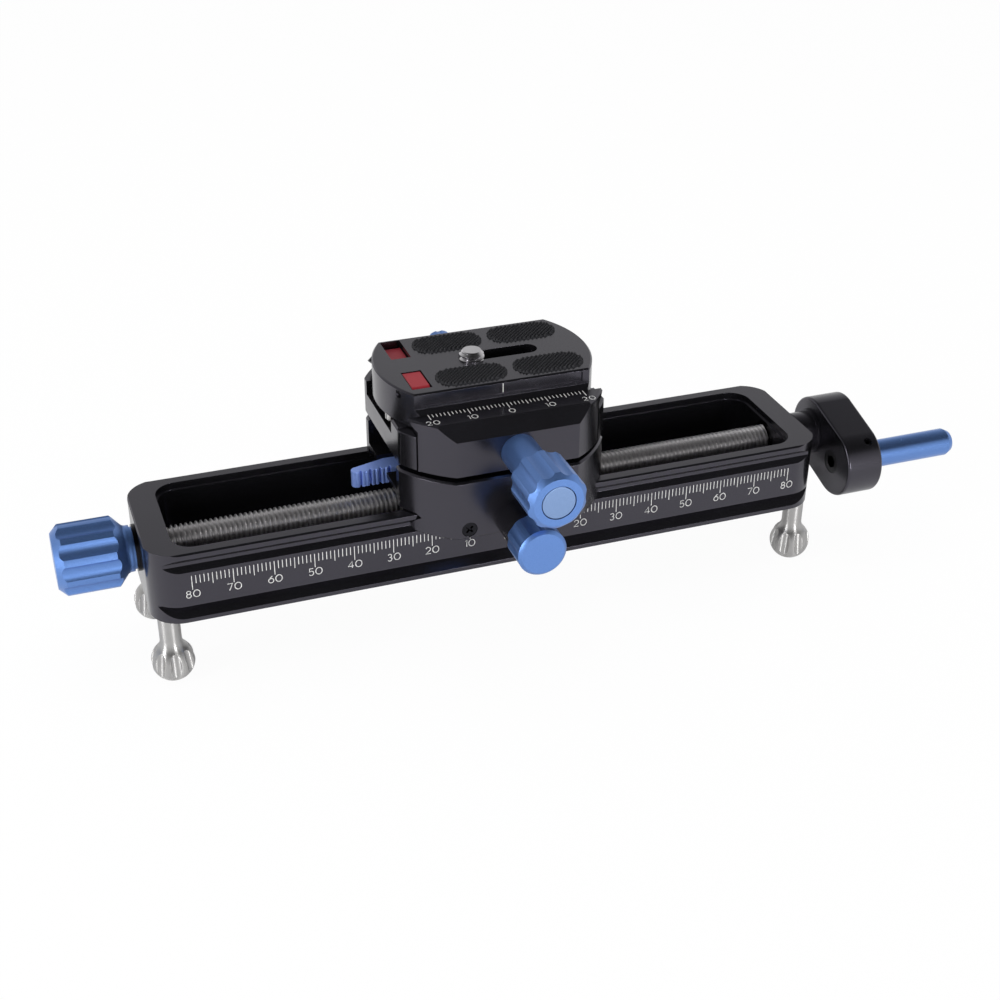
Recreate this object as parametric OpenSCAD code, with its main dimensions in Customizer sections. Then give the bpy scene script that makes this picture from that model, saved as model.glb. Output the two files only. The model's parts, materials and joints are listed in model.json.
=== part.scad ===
// Macro focusing rail with a turning clamp and a quick-release camera plate.
// X runs along the rail, the front scale side faces -Y, and Z = 0 is the rail's underside.
// The origin is the mouth of the middle tripod socket.

/* [Rail] */
// Length of the rail
rail_len = 180; // [160:5:220]
// Width of the rail and of its dovetail foot
rail_w = 38; // [37:0.5:40]
// Height of the rail
rail_h = 19.3; // [19:0.1:21]
// Radius of the upright corners
rail_corner_r = 8; // [5:0.5:9]
// Wall beside the window
rail_wall = 3.4; // [3:0.1:4]
// Thickness of each end wall
end_wall = 7.3; // [6.5:0.1:9]
// Thickness of the floor under the window
floor_t = 5.6; // [5:0.1:6]
// Radius of the window's corners
window_corner_r = 5; // [3:0.5:7]
// Depth of the step round the window's rim
window_step_h = 2; // [1:0.1:3]
// Width of the step round the window's rim
window_step_w = 0.4; // [0.2:0.1:0.8]
// Chamfer along the top edges
rail_chamfer = 0.4; // [0.2:0.1:0.8]

/* [Dovetail foot] */
// Height of the foot's upright lip
lip_h = 1.1; // [0.8:0.1:1.5]
// Inset of the 45 degree undercut
undercut = 3; // [2:0.1:3.3]
// Height of the neck above the undercut
neck_h = 0.55; // [0.3:0.05:1]

/* [Guide groove] */
// Height of the groove's mouth
groove_h = 3.6; // [3.2:0.1:4]
// Depth of the groove
groove_depth = 1.35; // [1:0.05:1.5]
// Land above the groove, with the chamfer
groove_land = 1.55; // [1.3:0.05:2]

/* [Tripod sockets] */
// Wall radius of the middle socket, a tapped 3/8 inch hole
socket_r = 3.97; // [3.9:0.01:4.1]
// Wall radius of the side sockets, tapped 1/4 inch holes
small_socket_r = 2.555; // [2.5:0.005:2.7]
// Distance of each side socket from the middle
small_socket_x = 20; // [14:1:30]

/* [Feet] */
// Drop from the rail's underside to the floor
foot_drop = 18.3; // [16:0.1:22]
// Radius of the ball
foot_ball_r = 5.4; // [4.5:0.1:6]
// Radius of the stem
foot_stem_r = 2.7; // [2.2:0.1:3.2]
// Radius of the hollow between stem and ball
foot_hollow_r = 3; // [2:0.1:4]
// Depth of the flat that stands on the floor
foot_flat = 0.25; // [0.1:0.05:0.5]
// Flutes round the lower half of the ball
foot_flutes = 8; // [6:1:10]
// Radius of a flute
foot_flute_r = 1; // [0.6:0.1:1.2]
// Radius of the stud in the rail
foot_stud_r = 1.5; // [1.2:0.1:1.6]
// Length of the stud in the rail
foot_stud_len = 6; // [4:0.5:8]
// Distance of the foot's axis from the rail's end
foot_end_inset = 4; // [3.5:0.1:6]
// Distance of the foot's axis from the rail's side
foot_side_inset = 5; // [4.8:0.1:6]

/* [Lead screw] */
// Outer radius of the thread
screw_r = 4; // [3.5:0.1:4.5]
// Advance for each turn
screw_pitch = 1.25; // [1:0.05:1.5]
// Height of the screw's axis
screw_z = 12; // [11.5:0.1:12.5]
// Radius of the plain journals
journal_r = 3; // [2.5:0.1:3.2]
// Outer radius of the bushes
bush_r = 5; // [4.6:0.1:5.4]
// Outer radius of the bush flange
bush_flange_r = 5.9; // [5.5:0.1:6.5]
// Thickness of the bush flange
bush_flange_t = 0.8; // [0.5:0.1:1.2]
// Outer radius of the thrust washers
washer_r = 5.3; // [4.5:0.1:6]
// Thickness of the thrust washers
washer_t = 0.5; // [0.3:0.1:0.8]

/* [Left knob] */
// Radius of the left knob
left_knob_r = 8.9; // [8:0.1:10]
// Radius of its neck
left_neck_r = 5.8; // [5:0.1:6.5]
// Length of the neck cone
left_neck_len = 3.6; // [2.5:0.1:4.5]
// Length of the whole knob
left_knob_len = 18.6; // [16:0.1:22]
// Length of the outer chamfer
left_chamfer = 2; // [1:0.1:2.5]
// Plain rim beside the chamfer
left_rim = 2.5; // [2:0.1:4]
// Number of flutes
left_flutes = 12; // [8:1:14]
// Radius of a flute
left_flute_r = 1.5; // [1.2:0.1:1.8]
// Depth of a flute
left_flute_depth = 0.75; // [0.4:0.05:1]
// How far the screw reaches into the knob
left_shaft_len = 14; // [10:0.5:15]

/* [Crank] */
// Radius of the collar beside the rail
collar_r = 5.75; // [5.2:0.05:6.5]
// Length of the collar
collar_len = 5.9; // [5:0.1:8]
// Thickness of the arm
arm_t = 10.6; // [8:0.1:12]
// Radius of the arm's two round ends
arm_r = 9.5; // [8.5:0.1:11]
// Throw, the distance between the two axes
crank_throw = 12.9; // [11:0.1:16]
// Angle of the arm below the horizontal, towards the front
crank_angle = 15.8; // [0:0.1:45]
// Chamfer round the arm
arm_chamfer = 0.9; // [0.5:0.1:1.5]
// Radius of the handle
handle_r = 3.8; // [3.5:0.1:5]
// Length of the handle
handle_len = 26.3; // [20:0.1:34]
// Chamfer at the handle's end
handle_chamfer = 1.6; // [0.8:0.1:1.9]
// Radius of the handle's axle
axle_r = 2; // [1.8:0.1:2.2]
// Radius of the axle's socket head
axle_head_r = 3.1; // [2.8:0.1:3.6]
// Height of the axle's socket head
axle_head_h = 2.6; // [2:0.1:3.5]

/* [Round blocks] */
// Radius of the round blocks
block_r = 30.8; // [29.5:0.1:32]
// Length between the end flats
block_l = 54; // [52:0.5:56]
// Width between the front and rear flats
block_w = 53; // [52:0.5:55]
// Height of the carriage block
block_h = 16.15; // [15.8:0.05:18]
// Slit between the two round blocks
pan_slit = 1.1; // [0.8:0.1:1.5]
// Chamfer of the blocks' edges
block_chamfer = 0.5; // [0.3:0.1:0.8]
// Width of the upright facet between a long flat and the round
block_facet = 1.2; // [0.6:0.1:2]

/* [Carriage] */
// Gap between carriage and rail, measured across
guide_gap = 0.2; // [0.15:0.05:0.3]
// Gap between the roof and the rail's top
roof_gap = 0.3; // [0.2:0.05:0.5]
// Depth of the relief beside the rail's top edge
relief_depth = 1.2; // [0.8:0.1:1.5]
// Half width of the bay above the window
bay_half = 13.2; // [12.5:0.1:13.6]
// Height of the bay above the roof
bay_h = 2.4; // [2.2:0.1:2.6]
// Thickness of the web between bay and lever pocket
web_t = 1.4; // [1:0.1:1.6]
// Half width of the lever pocket in the left face
pocket_half = 12.7; // [11.5:0.1:13]
// Depth of the lever pocket
pocket_depth = 8; // [7:0.5:8]

/* [Gib and lock] */
// Thickness of the gib's back behind the rail's side
gib_t = 3; // [2.6:0.1:3.2]
// Half length of the gib
gib_half = 18; // [15:0.5:18.5]
// Distance of each gib screw from the middle
gib_screw_x = 12.6; // [11:0.1:13]
// Height of the gib screws
gib_screw_z = 16.8; // [16.6:0.1:17.2]
// Radius of the gib screws
gib_screw_r = 1.15; // [1:0.05:1.3]
// Radius of the gib screw heads
gib_head_r = 1.9; // [1.7:0.1:2.1]
// Depth of the gib screw heads
gib_head_h = 1.3; // [1.1:0.1:1.6]
// Height of the lock knob's axis
lock_z = 17.6; // [17.4:0.1:18]
// Radius of the lock stud
lock_stud_r = 2.5; // [2:0.1:2.6]
// Radius of the sleeve in front of the skirt
lock_bush_r = 5.5; // [5:0.1:6]
// Length of the sleeve in front of the skirt
lock_bush_len = 8.2; // [6:0.1:10]
// Radius of the sleeve's spigot
lock_spigot_r = 3.2; // [3:0.1:3.3]
// Length of the sleeve's spigot
lock_spigot_len = 2.6; // [1.5:0.1:2.8]
// Radius of the lock knob
lock_knob_r = 6.2; // [5.5:0.1:7]
// Radius of the lock knob's face
lock_face_r = 5; // [4.5:0.1:5.4]
// Length of the lock knob
lock_knob_len = 9; // [8:0.1:12]
// Chamfer length of the lock knob
lock_chamfer = 1; // [0.6:0.1:1.5]
// Flutes of the lock knob
lock_flutes = 8; // [6:1:10]
// Radius of a lock knob flute
lock_flute_r = 1.5; // [1.2:0.1:1.8]
// Depth of a lock knob flute
lock_flute_depth = 0.8; // [0.5:0.1:1]

/* [Release lever] */
// Distance of the lever's nose from the middle
lever_reach = 35.5; // [34:0.5:36]
// Distance of the lever's pin from the middle
lever_pin_x = 15.5; // [15:0.5:16]
// Thickness of the lever
lever_t = 4.4; // [4:0.1:4.5]
// Swing of the lever in degrees
lever_swing = 10; // [8:1:10]
// Distance from the lever's pin to its inner tip
lever_arm = 7; // [6.5:0.1:7.2]
// Radius of the rounded inner tip
lever_tip_r = 1.3; // [1.2:0.1:1.5]
// Radius of the lever's nose
lever_nose_r = 1.5; // [1.3:0.1:1.8]
// Front face of the lever, measured from its pin
lever_front = 2.5; // [2.2:0.1:2.7]
// Rear face of the lever at the block
lever_rear = 2.8; // [2.4:0.1:3]
// Distance between the ribs on the front face
lever_rib_pitch = 2.6; // [2:0.1:3]
// Radius of the grooves between the ribs
lever_groove_r = 0.45; // [0.3:0.05:0.6]
// Radius of the lever's pin
lever_pin_r = 1.5; // [1.3:0.1:1.6]
// Radius of the lever's boss
lever_boss_r = 3.1; // [2.8:0.1:3.3]

/* [Half nut] */
// Length of the half nut
nut_len = 18; // [14:0.5:20]
// Depth of the half nut in front of the screw
nut_depth = 9.5; // [8:0.1:10]
// Wall of the half nut under the screw
nut_wall = 0.55; // [0.4:0.05:0.7]
// Half width of the tongue that slides in the block
tongue_half = 6; // [4.5:0.1:6]
// Height of the tongue inside the block
tongue_h = 1.8; // [1.4:0.1:2]
// Reach of the half nut's lug behind the screw's axis
nut_lug = 3.4; // [3:0.1:3.8]

/* [Clamp] */
// Height of the clamp body up to the platform
clamp_h = 9.8; // [9.5:0.1:11]
// Rise of the jaws above the platform
jaw_rise = 3.9; // [3.2:0.1:4.2]
// Depth of the channel below the platform
channel_depth = 3.75; // [3.3:0.05:3.9]
// Front edge of the channel
channel_front = 9.3; // [9:0.1:9.8]
// Rear edge of the channel
channel_rear = 13; // [12:0.1:14]
// Face between the clamp body and the front jaw
split_y = 14; // [13.5:0.1:14.5]
// Half length of the front jaw between the side walls
jaw_half = 23.35; // [22.5:0.05:23.6]
// Outer edge of the jaw's top face
jaw_top_y = 23.3; // [22:0.1:24]
// Bottom of the jaws' groove
jaw_groove_y = 20; // [19.6:0.1:20.4]
// Gap between the plate's flare and the jaws
jaw_gap = 0.1; // [0.05:0.05:0.2]
// Chamfer beside the jaw's upright joints
joint_chamfer = 0.5; // [0.3:0.1:0.8]
// Distance of each guide pin from the middle
guide_pin_x = 14.5; // [13:0.5:16]
// Height of the guide pins above the clamp's underside
guide_pin_h = 3.6; // [3.4:0.1:4]
// Radius of the guide pins
guide_pin_r = 1.5; // [1.2:0.1:1.6]
// Depth of the guide pins in the body
guide_pin_seat = 5; // [4:0.5:6]
// Reach of the guide pins in the jaw
guide_pin_reach = 9; // [8:0.5:10]

/* [Springs] */
// Radius of the spring wire
wire_r = 0.25; // [0.2:0.05:0.3]
// Middle radius of the springs on the guide pins
jaw_spring_r = 2.15; // [2.1:0.05:2.3]
// Length of the closed springs on the guide pins
jaw_spring_len = 5.4; // [5:0.1:6]
// Turns of each spring on the guide pins
jaw_spring_turns = 4; // [3:1:5]
// Middle radius of the half nut's spring
nut_spring_r = 1.9; // [1.7:0.05:2]
// Length of the half nut's spring when the nut is drawn back
nut_spring_short = 6.2; // [6:0.1:6.8]
// Turns of the half nut's spring
nut_spring_turns = 5; // [4:1:6]

/* [Pan bolt] */
// Radius of the pan bolt's head
pan_head_r = 7; // [6.5:0.1:7]
// Height of the pan bolt's head
pan_head_h = 3.8; // [3.4:0.1:4]
// Thickness of the clamp body under that head
pan_seat = 3.6; // [3.2:0.1:4]
// Radius of the shoulder that the clamp turns on
pan_shoulder_r = 5; // [4.5:0.1:5.5]
// Radius of the bolt's thread in the carriage
pan_thread_r = 4; // [3.5:0.1:4.2]
// Depth of the bolt's thread in the carriage
pan_thread_len = 5.2; // [4.5:0.1:5.4]
// Inner radius of the bearing ring
ring_inner_r = 9; // [8:0.5:10]
// Outer radius of the bearing ring
ring_outer_r = 16; // [14:0.5:17]

/* [Clamp knob] */
// Height of the clamp knob's axis above the clamp's underside
clamp_axis_h = 5.2; // [5:0.1:5.4]
// Radius of the clamp stud
clamp_stud_r = 3; // [2.5:0.1:3]
// Advance of the clamp stud for each turn
clamp_pitch = 1; // [0.8:0.05:1.25]
// Radius of the clamp knob's neck
clamp_neck_r = 4.6; // [4.2:0.1:5]
// Length of the clamp knob's neck
clamp_neck_len = 14; // [12:0.1:16]
// Radius of the clamp knob
clamp_knob_r = 7.4; // [7:0.1:8]
// Length of the clamp knob's grip with its chamfer
clamp_knob_len = 12.2; // [10:0.1:14]
// Chamfer length of the clamp knob
clamp_knob_chamfer = 1.5; // [1:0.1:2]
// Radius of the clamp knob's face
clamp_face_r = 6; // [5.5:0.1:6.4]
// Flutes of the clamp knob
clamp_flutes = 8; // [6:1:10]
// Radius of a clamp knob flute
clamp_flute_r = 2.4; // [1.8:0.1:3]
// Depth of a clamp knob flute
clamp_flute_depth = 0.7; // [0.4:0.1:1]
// Radius of the cap in the clamp knob's face
cap_r = 4.1; // [3.6:0.1:4.5]
// Thickness of the cap
cap_t = 1.4; // [1:0.1:2]

/* [Pan lock] */
// Height of the pan lock's axis above the clamp's underside
pan_lock_h = 5.6; // [5.4:0.1:5.7]
// Radius of the pan lock stud
pan_lock_stud_r = 2; // [1.7:0.1:2.1]
// Radius of the pan lock knob's neck
pan_lock_neck_r = 2.8; // [2.5:0.1:3.2]
// Radius of the pan lock knob
pan_lock_r = 4.25; // [4:0.05:5]
// Length of the pan lock knob's grip
pan_lock_len = 8; // [7:0.1:10]
// Length of the pan lock knob's neck
pan_lock_neck_len = 3; // [2:0.1:4]
// Radius of a pan lock knob flute
pan_lock_flute_r = 1; // [0.8:0.1:1.2]
// Depth of a pan lock knob flute
pan_lock_flute_depth = 0.5; // [0.3:0.1:0.6]
// Length of the brass shoe
shoe_len = 2.5; // [2:0.1:3]

/* [Camera plate] */
// Radius of the plate's round ends
plate_r = 27.6; // [26.8:0.1:28]
// Width of the plate's dovetail
plate_w = 38; // [37.8:0.1:38.2]
// Height of the plate
plate_h = 9; // [8.5:0.1:10]
// Height of the dovetail's upright lip
plate_lip_h = 1.85; // [1.6:0.05:2]
// Inset of the dovetail's 45 degree flank
plate_flare = 3.15; // [3:0.05:3.3]
// Gap between plate and platform
plate_gap = 0.1; // [0.05:0.05:0.2]
// Chamfer of the plate's top edge
plate_chamfer = 0.4; // [0.2:0.1:0.6]
// Place of the camera screw along the plate
cam_x = -3; // [-4:0.5:-2]
// Place of the slot's far centre
slot_end_x = 11.75; // [10:0.25:12]
// Width of the slot
slot_w = 5.1; // [5:0.1:5.4]
// Thickness of the plate over the screw head's pocket
slot_t = 3; // [2.8:0.1:3.2]
// Length of a rubber pad
pad_len = 18; // [16:0.5:19]
// Width of a rubber pad
pad_w = 9.6; // [9:0.1:10]
// Depth of a pad's seat
pad_seat = 0.8; // [0.5:0.1:1]
// Height of a pad's ridges above the plate
pad_rise = 0.6; // [0.4:0.1:0.8]
// Middle of the left pads along the plate
pad_left_x = -6.4; // [-6.8:0.1:-6.2]
// Middle of the right pads along the plate
pad_right_x = 13.7; // [13.4:0.1:14]
// Distance of the pads from the middle line
pad_y = 9.7; // [9.5:0.1:9.9]
// Distance between the pads' ridges
ridge_pitch = 1.5; // [1.2:0.1:2]
// Angle of the pads' ridges
ridge_angle = 60; // [45:5:75]
// Height of the stop screws below the plate
stop_drop = 2.8; // [2.4:0.1:2.9]
// Radius of the stop screws
stop_r = 1.3; // [1:0.1:1.4]
// Distance of the stop screws from the plate's middle
stop_x = 25.4; // [24.5:0.1:25.5]
// Length of the stop screws in the plate
stop_seat = 2.8; // [2.4:0.1:3]
// Offset of the stop screws from the middle line
stop_y = 4.4; // [4:0.1:5]

/* [Camera screw] */
// Outer radius of the quarter-inch thread
cam_r = 3.175; // [3.1:0.005:3.2]
// Length of the thread
cam_thread_len = 4.9; // [4.5:0.1:5.5]
// Depth of the relief of the thread's root, which stands in the plate
cam_relief = 0.4; // [0.3:0.05:0.45]
// Radius of the neck under the thread
cam_neck_r = 2.4; // [2.2:0.05:2.45]
// Radius of the head
cam_head_r = 6.4; // [5.8:0.1:6.6]
// Height of the head
cam_head_h = 2.3; // [2:0.1:2.5]
// Width of the slot in the head
cam_slot_w = 1.4; // [1.2:0.1:1.6]
// Depth of the slot in the head
cam_slot_h = 1.1; // [0.8:0.1:1.3]
// Radius of the washer on the neck
cam_washer_r = 5.4; // [5:0.1:5.6]
// Thickness of that washer
cam_washer_t = 0.4; // [0.3:0.1:0.5]
// Advance for each turn
cam_pitch = 1.27; // [1.2:0.01:1.3]
// Lift of the screw from the place shown
cam_lift = 2.8; // [2:0.1:2.9]

/* [Flip-up flags] */
// Left edge of the flag windows
flag_x0 = -22.5; // [-22.8:0.1:-22]
// Right edge of the flag windows
flag_x1 = -17.4; // [-17.8:0.1:-17]
// Outer end of the front window
front_window_out = 13.1; // [12.9:0.1:13.3]
// Inner end of the front window
front_window_in = 3.3; // [3:0.1:4]
// Outer end of the rear window
rear_window_out = 15; // [14.6:0.1:15]
// Inner end of the rear window
rear_window_in = 4.6; // [4:0.1:5]
// Depth of the windows
flag_depth = 5; // [4.8:0.1:5.2]
// Thickness of a flag
flag_t = 3.1; // [2.8:0.1:3.2]
// Radius of the flags' hinge pins
flag_pin_r = 0.8; // [0.7:0.05:0.9]
// Sink of the front flag below the plate's top
front_flag_sink = 0.2; // [0.1:0.05:0.4]
// Sink of the rear flag below the plate's top
rear_flag_sink = 1.4; // [1.2:0.1:1.5]

/* [Hidden] */
// Running clearance on a radius
run_fit = 0.03;
// Gap beside a shoulder or a flat that slides
side_gap = 0.1;
// Gap between moving pieces
part_gap = 0.3;
// Gap round a piece that sits in its seat
seat_gap = 0.05;
// Overrun of every cut
over = 1;
// Smoothness of true curves
$fn = 96;
// Smoothness of small curves
small_fn = 48;
// Sides of a hexagonal socket
hex = 6;
// Radius of a hexagonal socket in its screw
hex_r_share = 0.6;
// Depth of a hexagonal socket in a headless screw
hex_depth_share = 0.5;
// Depth of a hexagonal socket in a screw's head
head_socket_share = 0.7;
// Depth of a thread in its pitch, which chamfers the thread's ends
thread_depth_share = 0.61;
// Sides of the spring wire
wire_sides = 6;
// Rings in one turn of a spring
rings_per_turn = 8;

// Rail
rail_half = rail_w / 2;
rail_end = rail_len / 2;
window_len = rail_len - 2 * end_wall;
window_w = rail_w - 2 * rail_wall;
groove_top = rail_h - groove_land;
groove_low = groove_top - groove_h;
foot_x = rail_end - foot_end_inset;
foot_y = rail_half - foot_side_inset;
foot_ball_z = foot_ball_r - foot_drop - foot_flat;

// Lead screw, its bushes and what it carries
thread_half = window_len / 2 - part_gap;
thread_depth = screw_pitch * thread_depth_share;
flange_x = rail_end + bush_flange_t;
washer_x = flange_x + side_gap;
hub_x = washer_x + washer_t;
arm_x = hub_x + collar_len;
arm_out_x = arm_x + arm_t;
handle_x = arm_out_x + part_gap;
handle_end_x = handle_x + handle_len;
crank_y = -crank_throw * cos(crank_angle);
crank_z = screw_z - crank_throw * sin(crank_angle);
set_screw_r = 1.5;
set_screw_len = 4;
left_set_screw_share = 0.5;
crank_set_angle = 20;
collar_ring = 0.55;
collar_ring_r = collar_r + collar_ring;
collar_ring_t = 0.8;
handle_recess_r = 2.9;
handle_recess_h = 3;
clip_t = 0.6;
clip_r = 2.7;
axle_tip = 1;

// Round blocks
skirt_z = groove_low;
block_top = skirt_z + block_h;
corner_angle = acos(min(1, block_w / 2 / block_r)) / 2;
facet_y = block_r * cos(corner_angle) - block_facet / 2 * tan(corner_angle);
roof_z = rail_h + roof_gap;
bay_z = roof_z + bay_h;
pocket_z = bay_z + web_t;
gib_y = rail_half + gib_t;
gib_foot = 0.2;
skirt_half = sqrt(max(0, pow(block_r, 2) - pow(rail_half + guide_gap, 2)));
// The gib's bay runs out through the round where the skirt ends before it
gib_bay_half = skirt_half > gib_half + side_gap ? gib_half + side_gap : block_r;
gib_reach_share = 0.8;
cross_len_share = 1.2;
cross_w_share = 0.28;
lock_seat_share = 0.75;
lock_stud_seat = lock_knob_len * lock_seat_share;
lever_z = rail_h + roof_gap;
lever_top = lever_z + lever_t;
lever_slot_top = lever_top + part_gap;
lever_slot_front = lever_boss_r + 2 * part_gap;
lever_slot_rear = lever_rear + sin(lever_swing) * (block_l / 2 - lever_pin_x) + 3 * part_gap;
lever_slot_end = lever_pin_x - lever_arm - lever_tip_r - 2 * part_gap;
nose_x = lever_reach - lever_nose_r;
nose_y = lever_nose_r - lever_front;
lever_shoulder = 1;
lever_ribs = 4;
lever_pin_seat = 3.5;
lever_pin_head_r = 2.4;
lever_pin_head_h = 0.8;

// Half nut
nut_travel = lever_arm * sin(lever_swing);
nut_low = screw_z - screw_r - nut_wall;
nut_top = bay_z - part_gap;
nut_bore_r = screw_r + seat_gap;
nut_notch_gap = 0.25;
nut_face_y = 0.4;
tongue_top = nut_top + part_gap + tongue_h;
tongue_slot_top = tongue_top + side_gap;
tongue_step = 1;
tongue_front = nut_depth - tongue_step;
spring_rise = 0.4;
spring_z = bay_z + spring_rise;
spring_room = nut_spring_r + wire_r + side_gap;
spring_seat_y = nut_depth + nut_travel + nut_spring_short;
nut_spring_len = spring_seat_y - nut_depth - 2 * seat_gap;

// Clamp
clamp_z = block_top + pan_slit;
platform_z = clamp_z + clamp_h;
channel_z = platform_z - channel_depth;
jaw_top_z = platform_z + jaw_rise;
plate_z = platform_z + plate_gap;
plate_top = plate_z + plate_h;
flare_z = plate_z + plate_lip_h;
// Height plus half width stays the same along a 45 degree flank
flank_sum = plate_w / 2 + flare_z + jaw_gap * sqrt(2);
jaw_tip_y = flank_sum - jaw_top_z;
jaw_groove_z = flank_sum - jaw_groove_y;
jaw_shoulder_z = platform_z + side_gap;
jaw_head_z = jaw_shoulder_z + side_gap;
jaw_back_y = split_y + part_gap;
wall_top = platform_z - part_gap;
clamp_axis_z = clamp_z + clamp_axis_h;
stud_end_gap = 0.75;
stud_tip_y = pan_head_r + stud_end_gap;
guide_pin_z = clamp_z + guide_pin_h;
spring_bore_r = jaw_spring_r + wire_r + side_gap;
pan_head_z = clamp_z + pan_seat;
pan_lock_z = clamp_z + pan_lock_h;
shoe_r = pan_lock_stud_r - part_gap;
shoe_y = pan_head_r + part_gap;
flat_y = block_w / 2;

// Camera plate
plate_x = -0.3;
plate_half = plate_w / 2;
plate_top_half = plate_half - plate_flare;
pocket_top = plate_top - slot_t;
head_gap = 0.5;
pocket_r = cam_head_r + head_gap;
cam_hole_r = cam_r + run_fit;
cam_mouth_r = 3.6;
cam_thread_z = pocket_top;
cam_free_z = plate_top + side_gap;
cam_head_z = cam_thread_z - cam_lift - side_gap - cam_washer_t - cam_head_h;
cam_chamfer = cam_pitch * thread_depth_share;
flag_wide = flag_x1 - flag_x0 - 2 * part_gap;
flag_mid_x = (flag_x0 + flag_x1) / 2;
flag_z = plate_top - flag_depth;
flag_heel_r = flag_t / 2;
stop_shank_r = 0.9;
panel_len = 41;
panel_depth = 0.4;
ridge_foot_share = 0.36;
ridge_top_share = 0.16;
panel_h = 2.7;
panel_edge = 0.5;
panel_z = plate_top - panel_edge - panel_h;

// A half outline and its mirror image, closed across the middle
function mirrored(points) =
  concat(points, [for (i = [len(points) - 1 : -1 : 0]) [-points[i][0], points[i][1]]]);

// Outline in Y and Z drawn along X, centred
module bar_x(outline, length) {
  rotate([90, 0, 90]) linear_extrude(height = length, center = true) polygon(outline);
}

// Outline in X and Z drawn along Y, centred
module bar_y(outline, length) {
  rotate([90, 0, 0]) linear_extrude(height = length, center = true) polygon(outline);
}

// Box between two corners
module box(low, high) {
  translate(low) cube(high - low);
}

// Cylinder along X between two places
module rod_x(r, x0, x1, y, z) {
  translate([x0, y, z]) rotate([0, 90, 0]) cylinder(r = r, h = x1 - x0);
}

// Cylinder along Y between two places
module rod_y(r, y0, y1, x, z) {
  translate([x, y1, z]) rotate([90, 0, 0]) cylinder(r = r, h = y1 - y0);
}

// Cylinder along Z between two heights
module rod_z(r, z0, z1, x, y) {
  translate([x, y, z0]) cylinder(r = r, h = z1 - z0);
}

// Flat rectangle with round corners
module round_rect(length, width, r) {
  square([length - 2 * r, width], center = true);
  square([length, width - 2 * r], center = true);
  for (x = [-1, 1], y = [-1, 1])
    translate([x * (length / 2 - r), y * (width / 2 - r)]) circle(r = r);
}

// Slot with round ends from x0 to x1, centred on y
module obround(x0, x1, y, r, z0, z1) {
  rod_z(r, z0, z1, x0, y);
  rod_z(r, z0, z1, x1, y);
  box([x0, y - r, z0], [x1, y + r, z1]);
}

// Hexagonal socket that opens at height 0 and goes down
module hex_socket(r, depth) {
  translate([0, 0, -depth]) cylinder(r = r, h = depth + over, $fn = hex);
}

// Turned grip along Z with flutes cut into its side
module fluted_grip(r, length, face_r, chamfer, flutes, flute_r, flute_depth, plain) {
  difference() {
    rotate_extrude()
      polygon([[0, 0], [r, 0], [r, length - chamfer], [face_r, length], [0, length]]);
    for (i = [0 : flutes - 1])
      rotate(360 * i / flutes)
        translate([r - flute_depth + flute_r, 0, -over])
          cylinder(r = flute_r, h = length - plain + over, $fn = small_fn);
  }
}

// Round block with four flats and chamfered edges
module round_block(z0, z1) {
  c = block_chamfer;
  intersection() {
    rotate_extrude()
      polygon([[0, z0], [block_r - c, z0], [block_r, z0 + c], [block_r, z1 - c],
        [block_r - c, z1], [0, z1]]);
    bar_x(mirrored([[flat_y - c, z0], [flat_y, z0 + c], [flat_y, z1 - c], [flat_y - c, z1]]),
      2 * block_r + over);
    bar_y(mirrored([[block_l / 2 - c, z0], [block_l / 2, z0 + c],
        [block_l / 2, z1 - c], [block_l / 2 - c, z1]]), 2 * block_r + over);
    // Facets at the four corners beside the long flats
    for (a = [-corner_angle, corner_angle])
      rotate(a) box([-2 * block_r, -facet_y, z0 - over], [2 * block_r, facet_y, z1 + over]);
  }
}

// One ring of a round wire whose middle line climbs along Z
function wire_ring(r, angle, z) =
  [for (k = [0 : wire_sides - 1])
    let (a = 360 * k / wire_sides, reach = r + wire_r * cos(a))
      [reach * cos(angle), reach * sin(angle), z + wire_r * sin(a)]];

// Unbroken coil spring along Z from 0 to its length
module coil(r, length, turns) {
  rings = turns * rings_per_turn;
  climb = length - 2 * wire_r;
  points = [for (i = [0 : rings]) each wire_ring(r, 360 * i / rings_per_turn, wire_r + climb * i / rings)];
  n = wire_sides;
  sides = [for (i = [0 : rings - 1], k = [0 : n - 1]) each [
    [i * n + k, (i + 1) * n + k, (i + 1) * n + (k + 1) % n],
    [i * n + k, (i + 1) * n + (k + 1) % n, i * n + (k + 1) % n]]];
  start = [for (k = [1 : n - 2]) [0, k, k + 1]];
  finish = [for (k = [1 : n - 2]) [rings * n, rings * n + k + 1, rings * n + k]];
  polyhedron(points = points, faces = concat(sides, start, finish), convexity = 10);
}

// Smallest clear space between two turns of a coil
function coil_gap(length, turns) = (length - 2 * wire_r) / turns - 2 * wire_r;
echo("least gap of the jaw springs", coil_gap(jaw_spring_len, jaw_spring_turns));
echo("least gap of the nut spring", coil_gap(nut_spring_len, nut_spring_turns));

// Side outline of the rail: dovetail foot, scale face and guide groove
rail_outline = mirrored([
  [rail_half, 0],
  [rail_half, lip_h],
  [rail_half - undercut, lip_h + undercut],
  [rail_half - undercut, lip_h + undercut + neck_h],
  [rail_half, lip_h + undercut + neck_h],
  [rail_half, groove_low],
  [rail_half - groove_depth, groove_low + groove_depth],
  [rail_half - groove_depth, groove_top - groove_depth],
  [rail_half, groove_top],
  [rail_half, rail_h - rail_chamfer],
  [rail_half - rail_chamfer, rail_h]
]);

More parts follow.
